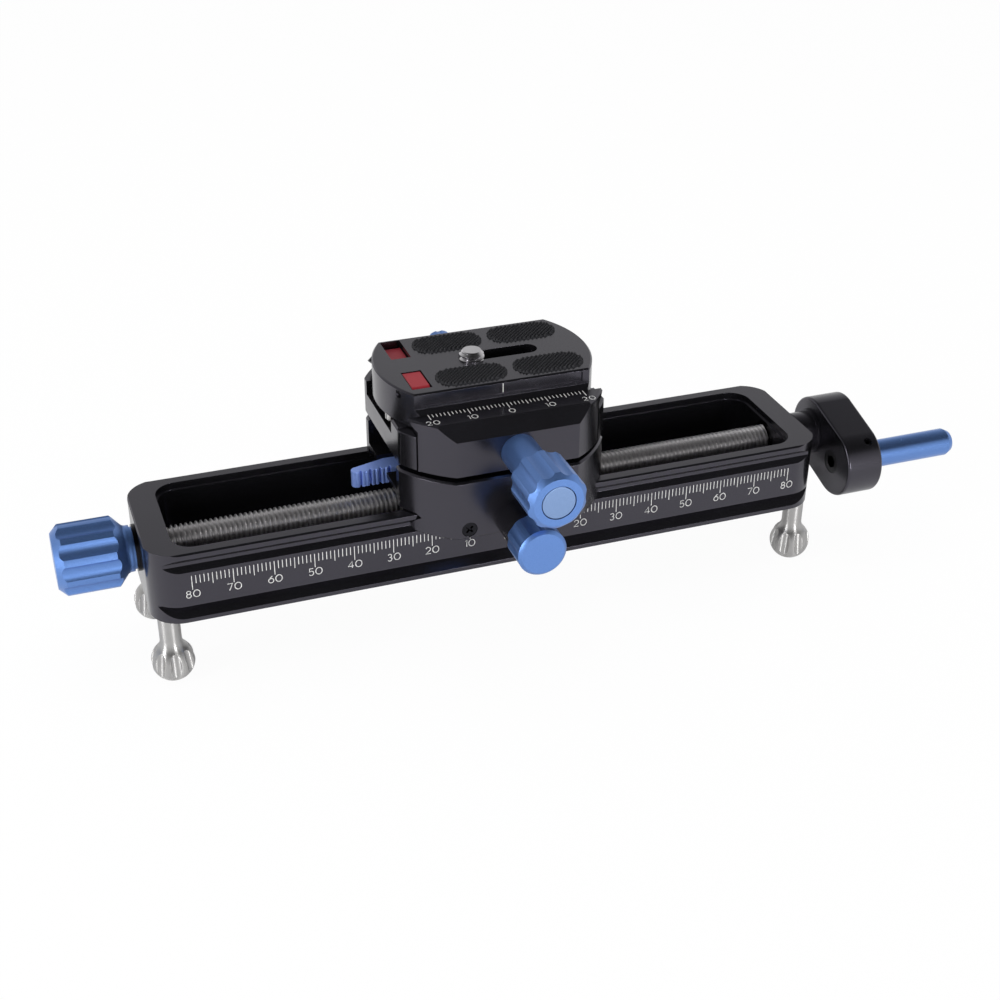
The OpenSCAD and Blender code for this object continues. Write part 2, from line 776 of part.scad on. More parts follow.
// Milled rail with its window, bush seats, tripod sockets and foot holes
module rail_frame() {
  color("#2b2b2d") difference() {
    intersection() {
      linear_extrude(height = rail_h) round_rect(rail_len, rail_w, rail_corner_r);
      bar_x(rail_outline, rail_len + over);
      bar_y(mirrored([[rail_end, 0], [rail_end, rail_h - rail_chamfer],
          [rail_end - rail_chamfer, rail_h]]), rail_w + over);
    }
    translate([0, 0, floor_t]) linear_extrude(height = rail_h)
      round_rect(window_len, window_w, window_corner_r);
    translate([0, 0, rail_h - window_step_h]) linear_extrude(height = rail_h)
      round_rect(window_len + 2 * window_step_w, window_w + 2 * window_step_w,
        window_corner_r + window_step_w);
    rod_x(bush_r, -rail_end - over, rail_end + over, 0, screw_z);
    rod_z(socket_r, -over, floor_t + over, 0, 0);
    for (x = [-1, 1])
      rod_z(small_socket_r, -over, floor_t + over, x * small_socket_x, 0);
    for (x = [-1, 1], y = [-1, 1])
      rod_z(foot_stud_r, -over, foot_stud_len + side_gap, x * foot_x, y * foot_y);
  }
}

// Flanged bush that carries one journal of the screw
module screw_bush() {
  difference() {
    union() {
      rod_x(bush_r, window_len / 2, rail_end, 0, screw_z);
      rod_x(bush_flange_r, rail_end, flange_x, 0, screw_z);
    }
    rod_x(journal_r + run_fit, window_len / 2 - over, flange_x + over, 0, screw_z);
  }
}

module screw_bush_left() {
  color("#a8843c") mirror([1, 0, 0]) screw_bush();
}

module screw_bush_right() {
  color("#a8843c") screw_bush();
}

// Ball foot with a hollow-sided stem and arched flutes below the ball's middle
module ball_foot() {
  hollow_x = foot_stem_r + foot_hollow_r;
  hollow_rise = sqrt(pow(foot_ball_r + foot_hollow_r, 2) - pow(hollow_x, 2));
  hollow_z = foot_ball_z + hollow_rise;
  touch = foot_ball_r / (foot_ball_r + foot_hollow_r);
  touch_x = hollow_x * touch;
  touch_z = foot_ball_z + hollow_rise * touch;
  difference() {
    union() {
      translate([0, 0, foot_ball_z]) sphere(r = foot_ball_r);
      rod_z(foot_stem_r, foot_ball_z, 0, 0, 0);
      rod_z(foot_stud_r, -foot_stud_r, foot_stud_len, 0, 0);
      rotate_extrude() difference() {
        translate([0, touch_z]) square([touch_x, hollow_z - touch_z]);
        translate([hollow_x, hollow_z]) circle(r = foot_hollow_r);
      }
    }
    for (i = [0 : foot_flutes - 1])
      rotate(360 * (i + 1 / 2) / foot_flutes) translate([foot_ball_r, 0, foot_ball_z - foot_flute_r]) {
        sphere(r = foot_flute_r, $fn = small_fn);
        translate([0, 0, -foot_ball_r]) cylinder(r = foot_flute_r, h = foot_ball_r, $fn = small_fn);
      }
    box([-foot_ball_r, -foot_ball_r, -foot_drop - foot_ball_r], [foot_ball_r, foot_ball_r, -foot_drop]);
  }
}

module foot_front_left() {
  color("#c9c9c6") translate([-foot_x, -foot_y, 0]) ball_foot();
}

module foot_front_right() {
  color("#c9c9c6") translate([foot_x, -foot_y, 0]) ball_foot();
}

module foot_rear_left() {
  color("#c9c9c6") translate([-foot_x, foot_y, 0]) ball_foot();
}

module foot_rear_right() {
  color("#c9c9c6") translate([foot_x, foot_y, 0]) ball_foot();
}

// Lead screw: the threaded part at its outer radius, and two plain journals
module lead_screw() {
  color("#b9b9b6") union() {
    translate([0, 0, screw_z]) rotate([0, 90, 0]) rotate_extrude()
      polygon([[0, -thread_half], [screw_r - thread_depth, -thread_half],
        [screw_r, thread_depth - thread_half], [screw_r, thread_half - thread_depth],
        [screw_r - thread_depth, thread_half], [0, thread_half]]);
    rod_x(journal_r, -hub_x - left_shaft_len, arm_out_x - arm_chamfer, 0, screw_z);
  }
}

// Ring between a bush flange and the piece that turns beside it
module thrust_washer() {
  difference() {
    rod_x(washer_r, washer_x, hub_x, 0, screw_z);
    rod_x(journal_r + seat_gap, washer_x - over, hub_x + over, 0, screw_z);
  }
}

module thrust_washer_left() {
  color("#c9c9c6") mirror([1, 0, 0]) thrust_washer();
}

module thrust_washer_right() {
  color("#c9c9c6") thrust_washer();
}

// Place of the left knob's set screw along the screw
left_set_x = hub_x + left_neck_len + (left_shaft_len - left_neck_len) * left_set_screw_share;

// Fluted knob on the left end of the screw
module left_knob() {
  face_r = left_knob_r - left_chamfer;
  color("#4a66a8") difference() {
    translate([-hub_x, 0, screw_z]) rotate([0, -90, 0]) difference() {
      union() {
        cylinder(r1 = left_neck_r, r2 = left_knob_r, h = left_neck_len);
        translate([0, 0, left_neck_len])
          fluted_grip(left_knob_r, left_knob_len - left_neck_len, face_r, left_chamfer,
            left_flutes, left_flute_r, left_flute_depth, left_chamfer + left_rim);
      }
      // The flutes run out through the neck cone
      for (i = [0 : left_flutes - 1])
        rotate(360 * i / left_flutes)
          translate([left_knob_r - left_flute_depth + left_flute_r, 0, -over])
            cylinder(r = left_flute_r, h = left_neck_len + 2 * over, $fn = small_fn);
      translate([0, 0, -over]) cylinder(r = journal_r, h = left_shaft_len + over);
    }
    rod_z(set_screw_r, screw_z - left_knob_r - over, screw_z, -left_set_x, 0);
  }
}

// Headless screw that holds the left knob, from below
module left_knob_set_screw() {
  low = screw_z - journal_r - set_screw_len;
  color("#3a3a3c") translate([-left_set_x, 0, low]) difference() {
    cylinder(r = set_screw_r, h = set_screw_len);
    rotate([180, 0, 0]) hex_socket(set_screw_r * hex_r_share, set_screw_len * hex_depth_share);
  }
}

// Black sleeve between the right bush and the arm
module crank_collar() {
  color("#232325") difference() {
    union() {
      rod_x(collar_r, hub_x, arm_x, 0, screw_z);
      rod_x(collar_ring_r, arm_x - collar_ring_t, arm_x, 0, screw_z);
    }
    rod_x(journal_r, hub_x - over, arm_x + over, 0, screw_z);
  }
}

// Chamfered round end of the arm, along X
module arm_end(y, z) {
  translate([arm_x, y, z]) rotate([0, 90, 0]) rotate_extrude()
    polygon([[0, 0], [arm_r - arm_chamfer, 0], [arm_r, arm_chamfer], [arm_r, arm_t - arm_chamfer],
      [arm_r - arm_chamfer, arm_t], [0, arm_t]]);
}

// Position on the screw's axis, with the arm's direction as local -Y
module on_arm() {
  translate([arm_x, 0, screw_z]) rotate([crank_angle, 0, 0]) children();
}

// Place of the crank's set screw, half way through the arm's thickness
module on_crank_set_screw() {
  on_arm() rotate([crank_set_angle, 0, 0]) translate([arm_t / 2, 0, journal_r]) children();
}

// Crank arm with a bore for the screw and a counterbored hole for the handle's axle
module crank_arm() {
  color("#232325") difference() {
    union() {
      arm_end(0, screw_z);
      arm_end(crank_y, crank_z);
      on_arm() translate([0, -crank_throw / 2, 0]) rotate([90, 0, 0])
        linear_extrude(height = crank_throw, center = true)
          polygon([[0, arm_chamfer - arm_r], [arm_chamfer, -arm_r], [arm_t - arm_chamfer, -arm_r],
            [arm_t, arm_chamfer - arm_r], [arm_t, arm_r - arm_chamfer], [arm_t - arm_chamfer, arm_r],
            [arm_chamfer, arm_r], [0, arm_r - arm_chamfer]]);
    }
    rod_x(journal_r, arm_x - over, arm_out_x + over, 0, screw_z);
    rod_x(axle_r, arm_x - over, arm_out_x + over, crank_y, crank_z);
    rod_x(axle_head_r + side_gap, arm_x - over, arm_x + axle_head_h + side_gap, crank_y, crank_z);
    on_crank_set_screw() cylinder(r = set_screw_r, h = arm_r, $fn = small_fn);
  }
}

// Headless screw in the arm's upper side
module crank_set_screw() {
  color("#3a3a3c") on_crank_set_screw() difference() {
    cylinder(r = set_screw_r, h = set_screw_len, $fn = small_fn);
    translate([0, 0, set_screw_len]) hex_socket(set_screw_r * hex_r_share, set_screw_len * hex_depth_share);
  }
}

// Socket-head shoulder screw that the handle spins on
module handle_axle() {
  head_x = arm_x + side_gap;
  color("#8f8f90") difference() {
    union() {
      rod_x(axle_head_r, head_x, head_x + axle_head_h, crank_y, crank_z);
      rod_x(axle_r, head_x, handle_end_x - axle_tip, crank_y, crank_z);
    }
    translate([head_x, crank_y, crank_z]) rotate([0, -90, 0])
      hex_socket(axle_head_r * hex_r_share, axle_head_h * head_socket_share);
  }
}

// Retaining ring on the axle, in the handle's outer recess
module handle_clip() {
  clip_x = handle_end_x - handle_recess_h + side_gap;
  color("#8f8f90") difference() {
    rod_x(clip_r, clip_x, clip_x + clip_t, crank_y, crank_z);
    rod_x(axle_r, clip_x - over, clip_x + clip_t + over, crank_y, crank_z);
  }
}

// Smooth handle, bored for its axle and recessed for the ring
module crank_handle() {
  color("#4a66a8") difference() {
    translate([handle_x, crank_y, crank_z]) rotate([0, 90, 0]) rotate_extrude()
      polygon([[0, 0], [handle_r - side_gap, 0], [handle_r, side_gap],
        [handle_r, handle_len - handle_chamfer],
        [handle_r - handle_chamfer / 2, handle_len], [0, handle_len]]);
    rod_x(axle_r + run_fit, handle_x - over, handle_end_x + over, crank_y, crank_z);
    rod_x(handle_recess_r, handle_end_x - handle_recess_h, handle_end_x + over, crank_y, crank_z);
  }
}

// Room for the rail: V ribs in its grooves, relief beside its top edges, flat roof
channel_outline = mirrored([
  [rail_half + guide_gap, skirt_z - over],
  [rail_half + guide_gap, groove_low],
  [rail_half - groove_depth + guide_gap, groove_low + groove_depth],
  [rail_half - groove_depth + guide_gap, groove_top - groove_depth],
  [rail_half + guide_gap, groove_top],
  [rail_half + guide_gap + relief_depth, (groove_top + roof_z) / 2],
  [rail_half + guide_gap, roof_z]
]);

module rail_channel() {
  bar_x(channel_outline, 2 * block_r + over);
}

// Both gib screw axes, as -Y
module on_gib_screws() {
  for (x = [-1, 1])
    translate([x * gib_screw_x, -flat_y, gib_screw_z]) rotate([90, 0, 0]) children();
}

// Carriage block: V-guided skirts, bay for the half nut, lever pocket and slots
module carriage_block() {
  color("#2b2b2d") difference() {
    round_block(skirt_z, block_top);
    rail_channel();
    box([-block_r, -bay_half, roof_z - over], [block_r, bay_half, bay_z]);
    // Pocket in the left face, open to the slit above
    box([-block_r, -pocket_half, pocket_z],
      [pocket_depth - block_l / 2, pocket_half, block_top + over]);
    // Slot that the lever swings in
    box([-block_r, -lever_slot_front, bay_z - over],
      [-lever_slot_end, lever_slot_rear, lever_slot_top]);
    // Slot that guides the half nut's tongue
    box([-tongue_half - side_gap, -tongue_front - nut_travel - 2 * part_gap, bay_z - over],
      [tongue_half + side_gap, nut_lug + part_gap, tongue_slot_top]);
    // Room for the half nut's spring
    box([-spring_room, -spring_seat_y, roof_z - over],
      [spring_room, -nut_depth, spring_z + spring_room]);
    rod_z(lever_pin_r, bay_z, lever_slot_top + lever_pin_seat + side_gap, -lever_pin_x, 0);
    rod_z(pan_thread_r, block_top - pan_thread_len, block_top + over, 0, 0);
    // Gib bay behind the front skirt
    box([-gib_bay_half, -gib_y - seat_gap, skirt_z - over],
      [gib_bay_half, -rail_half + groove_depth, roof_z]);
    on_gib_screws() {
      translate([0, 0, -flat_y]) cylinder(r = gib_screw_r + side_gap, h = flat_y + over, $fn = small_fn);
      translate([0, 0, -gib_head_h - part_gap])
        cylinder(r = gib_head_r + side_gap, h = flat_y, $fn = small_fn);
    }
    rod_y(lock_stud_r + side_gap, -flat_y - over, -gib_y + over, 0, lock_z);
    rod_y(lock_spigot_r, -flat_y - over, -flat_y + lock_spigot_len, 0, lock_z);
  }
}

// Loose strip with the front V rib, pressed by the lock stud
module front_gib() {
  color("#8d8d8f") difference() {
    box([-gib_half, -gib_y, skirt_z + gib_foot], [gib_half, -rail_half + groove_depth, roof_z - side_gap]);
    rail_channel();
    on_gib_screws() translate([0, 0, -flat_y]) cylinder(r = gib_screw_r, h = flat_y, $fn = small_fn);
  }
}

// Cross-recess screws that hold the gib loosely
module gib_screws() {
  head_z = -gib_head_h - part_gap / 2;
  tip_z = gib_y - gib_t * gib_reach_share - flat_y;
  color("#6f6f70") on_gib_screws() difference() {
    union() {
      translate([0, 0, head_z]) cylinder(r = gib_head_r, h = gib_head_h, $fn = small_fn);
      translate([0, 0, tip_z]) cylinder(r = gib_screw_r, h = head_z - tip_z + seat_gap, $fn = small_fn);
    }
    for (a = [45, 135])
      rotate(a) translate([0, 0, head_z + gib_head_h])
        cube([gib_head_r * cross_len_share, gib_head_r * cross_w_share, gib_head_h], center = true);
  }
}

// Threaded sleeve in front of the skirt, with a spigot in the skirt
module lock_bush() {
  color("#1f1f21") difference() {
    union() {
      rod_y(lock_bush_r, -flat_y - lock_bush_len, -flat_y, 0, lock_z);
      rod_y(lock_spigot_r, -flat_y, -flat_y + lock_spigot_len - seat_gap, 0, lock_z);
    }
    rod_y(lock_stud_r + run_fit, -flat_y - lock_bush_len - over,
      -flat_y + lock_spigot_len + over, 0, lock_z);
  }
}

// Lock knob with a plain face
module lock_knob() {
  color("#4a66a8")
  translate([0, -flat_y - lock_bush_len - part_gap, lock_z]) rotate([90, 0, 0]) difference() {
    fluted_grip(lock_knob_r, lock_knob_len, lock_face_r, lock_chamfer,
      lock_flutes, lock_flute_r, lock_flute_depth, -over);
    translate([0, 0, -over]) cylinder(r = lock_stud_r, h = lock_stud_seat + over);
  }
}

// Stud of the lock knob, which bears on the gib
module lock_stud() {
  color("#8f8f90") rod_y(lock_stud_r, -flat_y - lock_bush_len - part_gap - lock_stud_seat,
    -gib_y - side_gap, 0, lock_z);
}

// Flat piece of the lever with a straight outline
module lever_slab(outline) {
  translate([0, 0, lever_z]) linear_extrude(height = lever_t) polygon(outline);
}

// Release lever: ribbed thumb piece outside, boss and rounded tip inside
module release_lever() {
  back_x = block_l / 2 - lever_shoulder;
  tip_x = lever_arm - lever_pin_x;
  color("#4a66a8") difference() {
    union() {
      rod_z(lever_nose_r, lever_z, lever_top, -nose_x, nose_y);
      lever_slab([[-nose_x, -lever_front], [-nose_x, nose_y + lever_nose_r], [-back_x, lever_rear],
        [-lever_pin_x, lever_front], [-lever_pin_x, -lever_front]]);
      rod_z(lever_boss_r, lever_z, lever_top, -lever_pin_x, 0);
      lever_slab([[-lever_pin_x, -lever_front], [-lever_pin_x, lever_front],
        [tip_x, lever_tip_r], [tip_x, -lever_tip_r]]);
      rod_z(lever_tip_r, lever_z, lever_top, tip_x, 0);
    }
    for (i = [0 : lever_ribs - 1])
      rod_z(lever_groove_r, lever_z - over, lever_top + over,
        -nose_x + lever_rib_pitch * (i + 1 / 2), -lever_front);
    rod_z(lever_pin_r + run_fit, lever_z - over, lever_top + over, -lever_pin_x, 0);
  }
}

// Headed pin that the lever swings on, driven up into the block
module lever_pin() {
  color("#b9b9b6") union() {
    rod_z(lever_pin_r, lever_z - side_gap, lever_slot_top + lever_pin_seat, -lever_pin_x, 0);
    rod_z(lever_pin_head_r, lever_z - side_gap - lever_pin_head_h, lever_z - side_gap, -lever_pin_x, 0);
  }
}

// Half nut: half-round cradle in front of the screw, lug with a notch for the lever, tongue in the block
module half_nut() {
  notch_x = lever_pin_x - lever_arm;
  color("#b08d45") difference() {
    union() {
      box([-nut_len / 2, -nut_depth, nut_low], [nut_len / 2, -nut_face_y, nut_top]);
      box([-nut_len / 2, -nut_depth, screw_z + nut_bore_r + part_gap], [nut_len / 2, nut_lug, nut_top]);
      box([-tongue_half, -tongue_front, nut_top - seat_gap], [tongue_half, nut_lug, tongue_top]);
    }
    rod_x(nut_bore_r, -nut_len, nut_len, 0, screw_z);
    box([-nut_len, -lever_tip_r - nut_notch_gap, lever_z - part_gap],
      [-notch_x + lever_tip_r + part_gap, lever_tip_r + nut_notch_gap, nut_top + over]);
  }
}

// Spring in front of the half nut
module nut_spring() {
  color("#c9c9c6") translate([0, -spring_seat_y + seat_gap, spring_z]) rotate([-90, 0, 0])
    coil(nut_spring_r, nut_spring_len, nut_spring_turns);
}

// Flat ring that the clamp turns on
module pan_bearing_ring() {
  color("#3a3a3c") difference() {
    rod_z(ring_outer_r, block_top, clamp_z - seat_gap, 0, 0);
    rod_z(ring_inner_r, block_top - over, clamp_z + over, 0, 0);
  }
}

// Shoulder bolt in the middle, with a wide flat head in the clamp's channel
module pan_bolt() {
  color("#8f8f90") difference() {
    union() {
      rod_z(pan_thread_r, block_top - pan_thread_len + side_gap, block_top, 0, 0);
      rod_z(pan_shoulder_r, block_top, pan_head_z + seat_gap, 0, 0);
      rod_z(pan_head_r, pan_head_z + seat_gap, pan_head_z + pan_head_h, 0, 0);
    }
    translate([0, 0, pan_head_z + pan_head_h])
      hex_socket(pan_shoulder_r * hex_r_share, pan_head_h * head_socket_share);
  }
}

// Outline of one jaw in Y and Z, from its inner face outwards
function jaw_outline(inner) = [
  [inner, clamp_z],
  [flat_y, clamp_z],
  [flat_y, jaw_shoulder_z],
  [jaw_top_y, jaw_top_z],
  [jaw_tip_y, jaw_top_z],
  [jaw_groove_y, jaw_groove_z],
  [jaw_groove_y, platform_z],
  [inner, platform_z]
];

// One jaw, cut by the blocks' round outline and end flats
module jaw_solid(inner) {
  intersection() {
    round_block(clamp_z, jaw_top_z);
    bar_x(jaw_outline(inner), block_l + over);
  }
}

// Chamfers on both sides of the upright joints between jaw and side walls
module joint_chamfers() {
  joint_x = jaw_half + side_gap;
  joint_y = sqrt(pow(block_r, 2) - pow(joint_x, 2));
  for (x = [-1, 1])
    translate([x * joint_x, -joint_y, clamp_z + clamp_h / 2]) rotate(45)
      cube([2 * joint_chamfer, 2 * joint_chamfer, clamp_h - seat_gap], center = true);
}

// Clamp body: channel, platform, side walls and the fixed rear jaw
module clamp_body() {
  color("#2b2b2d") difference() {
    union() {
      round_block(clamp_z, platform_z);
      jaw_solid(channel_rear);
    }
    box([-block_r, -channel_front, channel_z], [block_r, channel_rear, jaw_top_z]);
    // Room of the front jaw between the side walls, and above them
    box([-jaw_half - 2 * side_gap, -block_r, clamp_z - over],
      [jaw_half + 2 * side_gap, -split_y, platform_z + over]);
    box([-block_r, -block_r, wall_top], [block_r, -split_y, platform_z + over]);
    joint_chamfers();
    rod_z(pan_shoulder_r + run_fit, clamp_z - over, platform_z, 0, 0);
    rod_z(pan_head_r + part_gap, pan_head_z, platform_z + over, 0, 0);
    rod_y(clamp_stud_r + run_fit, -split_y - over, 0, 0, clamp_axis_z);
    rod_y(pan_lock_stud_r + run_fit, 0, flat_y + over, 0, pan_lock_z);
    for (x = [-1, 1])
      rod_y(guide_pin_r, -split_y - over, guide_pin_seat - split_y + side_gap, x * guide_pin_x, guide_pin_z);
  }
}

// Pins that the front jaw slides on
module jaw_guide_pins() {
  color("#c9c9c6") for (x = [-1, 1])
    rod_y(guide_pin_r, -split_y - guide_pin_reach, guide_pin_seat - split_y, x * guide_pin_x, guide_pin_z);
}

// Springs round the guide pins, in the jaw's counterbores
module jaw_springs() {
  color("#c9c9c6") for (x = [-1, 1])
    translate([x * guide_pin_x, -split_y - seat_gap, guide_pin_z]) rotate([90, 0, 0])
      coil(jaw_spring_r, jaw_spring_len, jaw_spring_turns);
}

// Sliding front jaw: a block between the side walls with a full-width head
module front_jaw() {
  color("#2b2b2d") difference() {
    mirror([0, 1, 0]) jaw_solid(jaw_back_y);
    for (side = [-1, 1])
      translate([side * (jaw_half + block_r), 0, jaw_head_z - clamp_h])
        cube([2 * block_r, 2 * block_r, 2 * clamp_h], center = true);
    joint_chamfers();
    rod_y(clamp_stud_r + side_gap, -flat_y - over, 0, 0, clamp_axis_z);
    for (x = [-1, 1]) {
      rod_y(guide_pin_r + run_fit, -split_y - guide_pin_reach - side_gap, 0, x * guide_pin_x, guide_pin_z);
      rod_y(spring_bore_r, -split_y - jaw_spring_len - side_gap, 0, x * guide_pin_x, guide_pin_z);
    }
  }
}

// Position at the front jaw's face, pointing to the front
module on_clamp_knob() {
  translate([0, -flat_y - seat_gap, clamp_axis_z]) rotate([90, 0, 0]) children();
}

// Depth of the clamp stud in the knob
cap_floor = 2;
clamp_stud_seat = clamp_neck_len + clamp_knob_len - cap_t - cap_floor;

// Clamp knob: long neck, broad flutes, and a recess for its cap
module clamp_knob() {
  color("#4a66a8") on_clamp_knob() difference() {
    union() {
      cylinder(r = clamp_neck_r, h = clamp_neck_len + seat_gap);
      translate([0, 0, clamp_neck_len])
        fluted_grip(clamp_knob_r, clamp_knob_len, clamp_face_r, clamp_knob_chamfer,
          clamp_flutes, clamp_flute_r, clamp_flute_depth, -over);
    }
    translate([0, 0, -over]) cylinder(r = clamp_stud_r, h = clamp_stud_seat + over);
    translate([0, 0, clamp_neck_len + clamp_knob_len - cap_t])
      cylinder(r = cap_r + side_gap, h = cap_t + over);
  }
}

// Flat cap in the clamp knob's face
module clamp_knob_cap() {
  color("#6f8fca") on_clamp_knob()
    translate([0, 0, clamp_neck_len + clamp_knob_len - cap_t]) cylinder(r = cap_r, h = cap_t - seat_gap);
}

// Stud that pulls the jaw towards the body
module clamp_stud() {
  chamfer = clamp_pitch * thread_depth_share;
  color("#8f8f90") union() {
    rod_y(clamp_stud_r, -flat_y - seat_gap - clamp_stud_seat, -stud_tip_y - chamfer, 0, clamp_axis_z);
    translate([0, -stud_tip_y, clamp_axis_z]) rotate([90, 0, 0])
      cylinder(r1 = clamp_stud_r - chamfer, r2 = clamp_stud_r, h = chamfer);
  }
}

// Small knob behind the clamp
module pan_lock_knob() {
  color("#4a66a8") translate([0, flat_y + side_gap, pan_lock_z]) rotate([-90, 0, 0]) difference() {
    union() {
      cylinder(r = pan_lock_neck_r, h = pan_lock_neck_len + seat_gap);
      translate([0, 0, pan_lock_neck_len])
        fluted_grip(pan_lock_r, pan_lock_len, pan_lock_r - lock_chamfer, lock_chamfer,
          lock_flutes, pan_lock_flute_r, pan_lock_flute_depth, -over);
    }
    translate([0, 0, -over]) cylinder(r = pan_lock_stud_r, h = pan_lock_neck_len + pan_lock_len / 2 + over);
  }
}

// Stud of the pan lock
module pan_lock_stud() {
  color("#8f8f90") rod_y(pan_lock_stud_r, shoe_y + shoe_len,
    flat_y + side_gap + pan_lock_neck_len + pan_lock_len / 2, 0, pan_lock_z);
}

// Brass shoe that presses on the pan bolt's head
module pan_lock_shoe() {
  color("#b08d45") rod_y(shoe_r, shoe_y, shoe_y + shoe_len, 0, pan_lock_z);
}

// Seat of one pad, or the pad's own outline, at a place on the plate
module pad_outline(x, y, grow, z0, z1) {
  r = pad_w / 2;
  obround(x - pad_len / 2 + r, x + pad_len / 2 - r, y, r + grow, z0, z1);
}

// Camera plate: dovetail sides, round ends, slot, pockets, windows and pad seats
module camera_plate() {
  outline = mirrored([
    [plate_half, plate_z],
    [plate_half, flare_z],
    [plate_top_half, flare_z + plate_flare],
    [plate_top_half, plate_top - plate_chamfer],
    [plate_top_half - plate_chamfer, plate_top]
  ]);
  color("#2f2f31") difference() {
    intersection() {
      bar_x(outline, 2 * plate_r + over);
      translate([plate_x, 0, 0]) rotate_extrude()
        polygon([[0, plate_z], [plate_r, plate_z], [plate_r, plate_top - plate_chamfer],
          [plate_r - plate_chamfer, plate_top], [0, plate_top]]);
    }
    // Pocket of the camera screw's head, slot and insertion hole
    obround(cam_x, slot_end_x, 0, pocket_r, plate_z - over, pocket_top);
    obround(cam_x, slot_end_x, 0, slot_w / 2, pocket_top - over, plate_top + over);
    rod_z(cam_hole_r, pocket_top - over, plate_top + over, cam_x, 0);
    translate([cam_x, 0, plate_top - (cam_mouth_r - cam_hole_r)])
      cylinder(r1 = cam_hole_r, r2 = cam_mouth_r + over, h = cam_mouth_r - cam_hole_r + over);
    // Windows and hinge holes of the two flags
    box([flag_x0, -front_window_out, flag_z], [flag_x1, -front_window_in, plate_top + over]);
    box([flag_x0, rear_window_in, flag_z], [flag_x1, rear_window_out, plate_top + over]);
    rod_x(flag_pin_r + run_fit, -plate_r - over, flag_pin_x1, -front_pin_y, front_pin_z);
    rod_x(flag_pin_r + run_fit, -plate_r - over, flag_pin_x1, rear_pin_y, rear_pin_z);
    for (x = [pad_left_x, pad_right_x], y = [-pad_y, pad_y])
      pad_outline(x, y, seat_gap, plate_top - pad_seat, plate_top + over);
    // Shallow panel in each straight side
    for (y = [-1, 1])
      box([-panel_len / 2, y * plate_top_half - panel_depth, panel_z],
        [panel_len / 2, y * plate_top_half + panel_depth, panel_z + panel_h]);
    for (side = [-1, 1])
      rod_z(stop_shank_r, plate_z - over, plate_z + stop_seat + side_gap,
        plate_x + side * stop_x, side * stop_y);
  }
}

// Half outline of one ridge, across it and up
pad_ridge = [
  [ridge_pitch * ridge_foot_share, -seat_gap],
  [ridge_pitch * ridge_top_share, pad_rise]
];

// One rubber pad: a base in its seat and slanted ridges on top
module rubber_pad(x, y) {
  low = plate_top - pad_seat;
  high = plate_top + pad_rise;
  count = ceil(pad_len / ridge_pitch / 2) + 2;
  color("#18181a") union() {
    pad_outline(x, y, 0, low, plate_top);
    intersection() {
      pad_outline(x, y, 0, plate_top - seat_gap, high);
      for (i = [-count : count])
        translate([x + i * ridge_pitch, y, plate_top]) rotate(ridge_angle)
          bar_x(mirrored(pad_ridge), 2 * pad_w);
    }
  }
}

module plate_pad_front_left() {
  rubber_pad(pad_left_x, -pad_y);
}

module plate_pad_front_right() {
  rubber_pad(pad_right_x, -pad_y);
}

module plate_pad_rear_left() {
  rubber_pad(pad_left_x, pad_y);
}

module plate_pad_rear_right() {
  rubber_pad(pad_right_x, pad_y);
}

// Stop screws that keep the plate in the clamp
module plate_stop_screws() {
  color("#c9c9c6") for (side = [-1, 1])
    translate([plate_x + side * stop_x, side * stop_y, plate_z]) {
      translate([0, 0, stop_r / 2 - stop_drop])
        cylinder(r = stop_r, h = stop_drop - stop_r / 2, $fn = small_fn);
      translate([0, 0, -stop_drop])
        cylinder(r1 = stop_r / 2, r2 = stop_r, h = stop_r / 2, $fn = small_fn);
      cylinder(r = stop_shank_r, h = stop_seat, $fn = small_fn);
    }
}

// Quarter-inch screw: thread, relieved root, neck and slotted head
module camera_screw() {
  head_top = cam_head_z + cam_head_h;
  top = cam_thread_z + cam_thread_len;
  color("#c9c9c6") difference() {
    union() {
      rod_z(cam_head_r, cam_head_z, head_top, cam_x, 0);
      rod_z(cam_neck_r, cam_head_z, cam_thread_z + seat_gap, cam_x, 0);
      rod_z(cam_r - cam_relief, cam_thread_z, cam_free_z, cam_x, 0);
      rod_z(cam_r, cam_free_z, top - cam_chamfer, cam_x, 0);
      translate([cam_x, 0, top - cam_chamfer])
        cylinder(r1 = cam_r, r2 = cam_r - cam_chamfer, h = cam_chamfer);
    }
    translate([cam_x, 0, cam_head_z])
      cube([2 * cam_head_r + over, cam_slot_w, 2 * cam_slot_h], center = true);
  }
}

// Washer on the camera screw's neck
module camera_screw_washer() {
  low = cam_head_z + cam_head_h;
  color("#1f1f21") difference() {
    rod_z(cam_washer_r, low + seat_gap, low + cam_washer_t, cam_x, 0);
    rod_z(cam_neck_r + seat_gap, low - over, low + 2 * over, cam_x, 0);
  }
}

// Hinge pins of the flags, in Y and Z
front_pin_y = front_window_out - flag_heel_r - part_gap;
front_pin_z = plate_top - front_flag_sink - flag_heel_r;
rear_pin_y = rear_window_out - flag_heel_r - part_gap;
rear_pin_z = plate_top - rear_flag_sink - flag_heel_r;
flag_pin_seat = 2;
flag_pin_x1 = flag_x1 + flag_pin_seat;
flag_pin_x0 = flag_x0 - flag_pin_seat;

// A flag of a given reach that lies towards +Y from its pin
module flag(reach) {
  difference() {
    union() {
      rod_x(flag_heel_r, flag_mid_x - flag_wide / 2, flag_mid_x + flag_wide / 2, 0, 0);
      box([flag_mid_x - flag_wide / 2, 0, -flag_heel_r], [flag_mid_x + flag_wide / 2, reach, flag_heel_r]);
    }
    rod_x(flag_pin_r + run_fit, flag_x0 - over, flag_x1 + over, 0, 0);
    // Slanted underside of the free end, for a finger nail
    translate([flag_mid_x, reach, -flag_heel_r]) rotate([45, 0, 0])
      cube([flag_x1 - flag_x0, flag_t / 2, flag_t / 2], center = true);
  }
}

module front_flag() {
  color("#a8323a") translate([0, -front_pin_y, front_pin_z])
    flag(front_pin_y - front_window_in - part_gap);
}

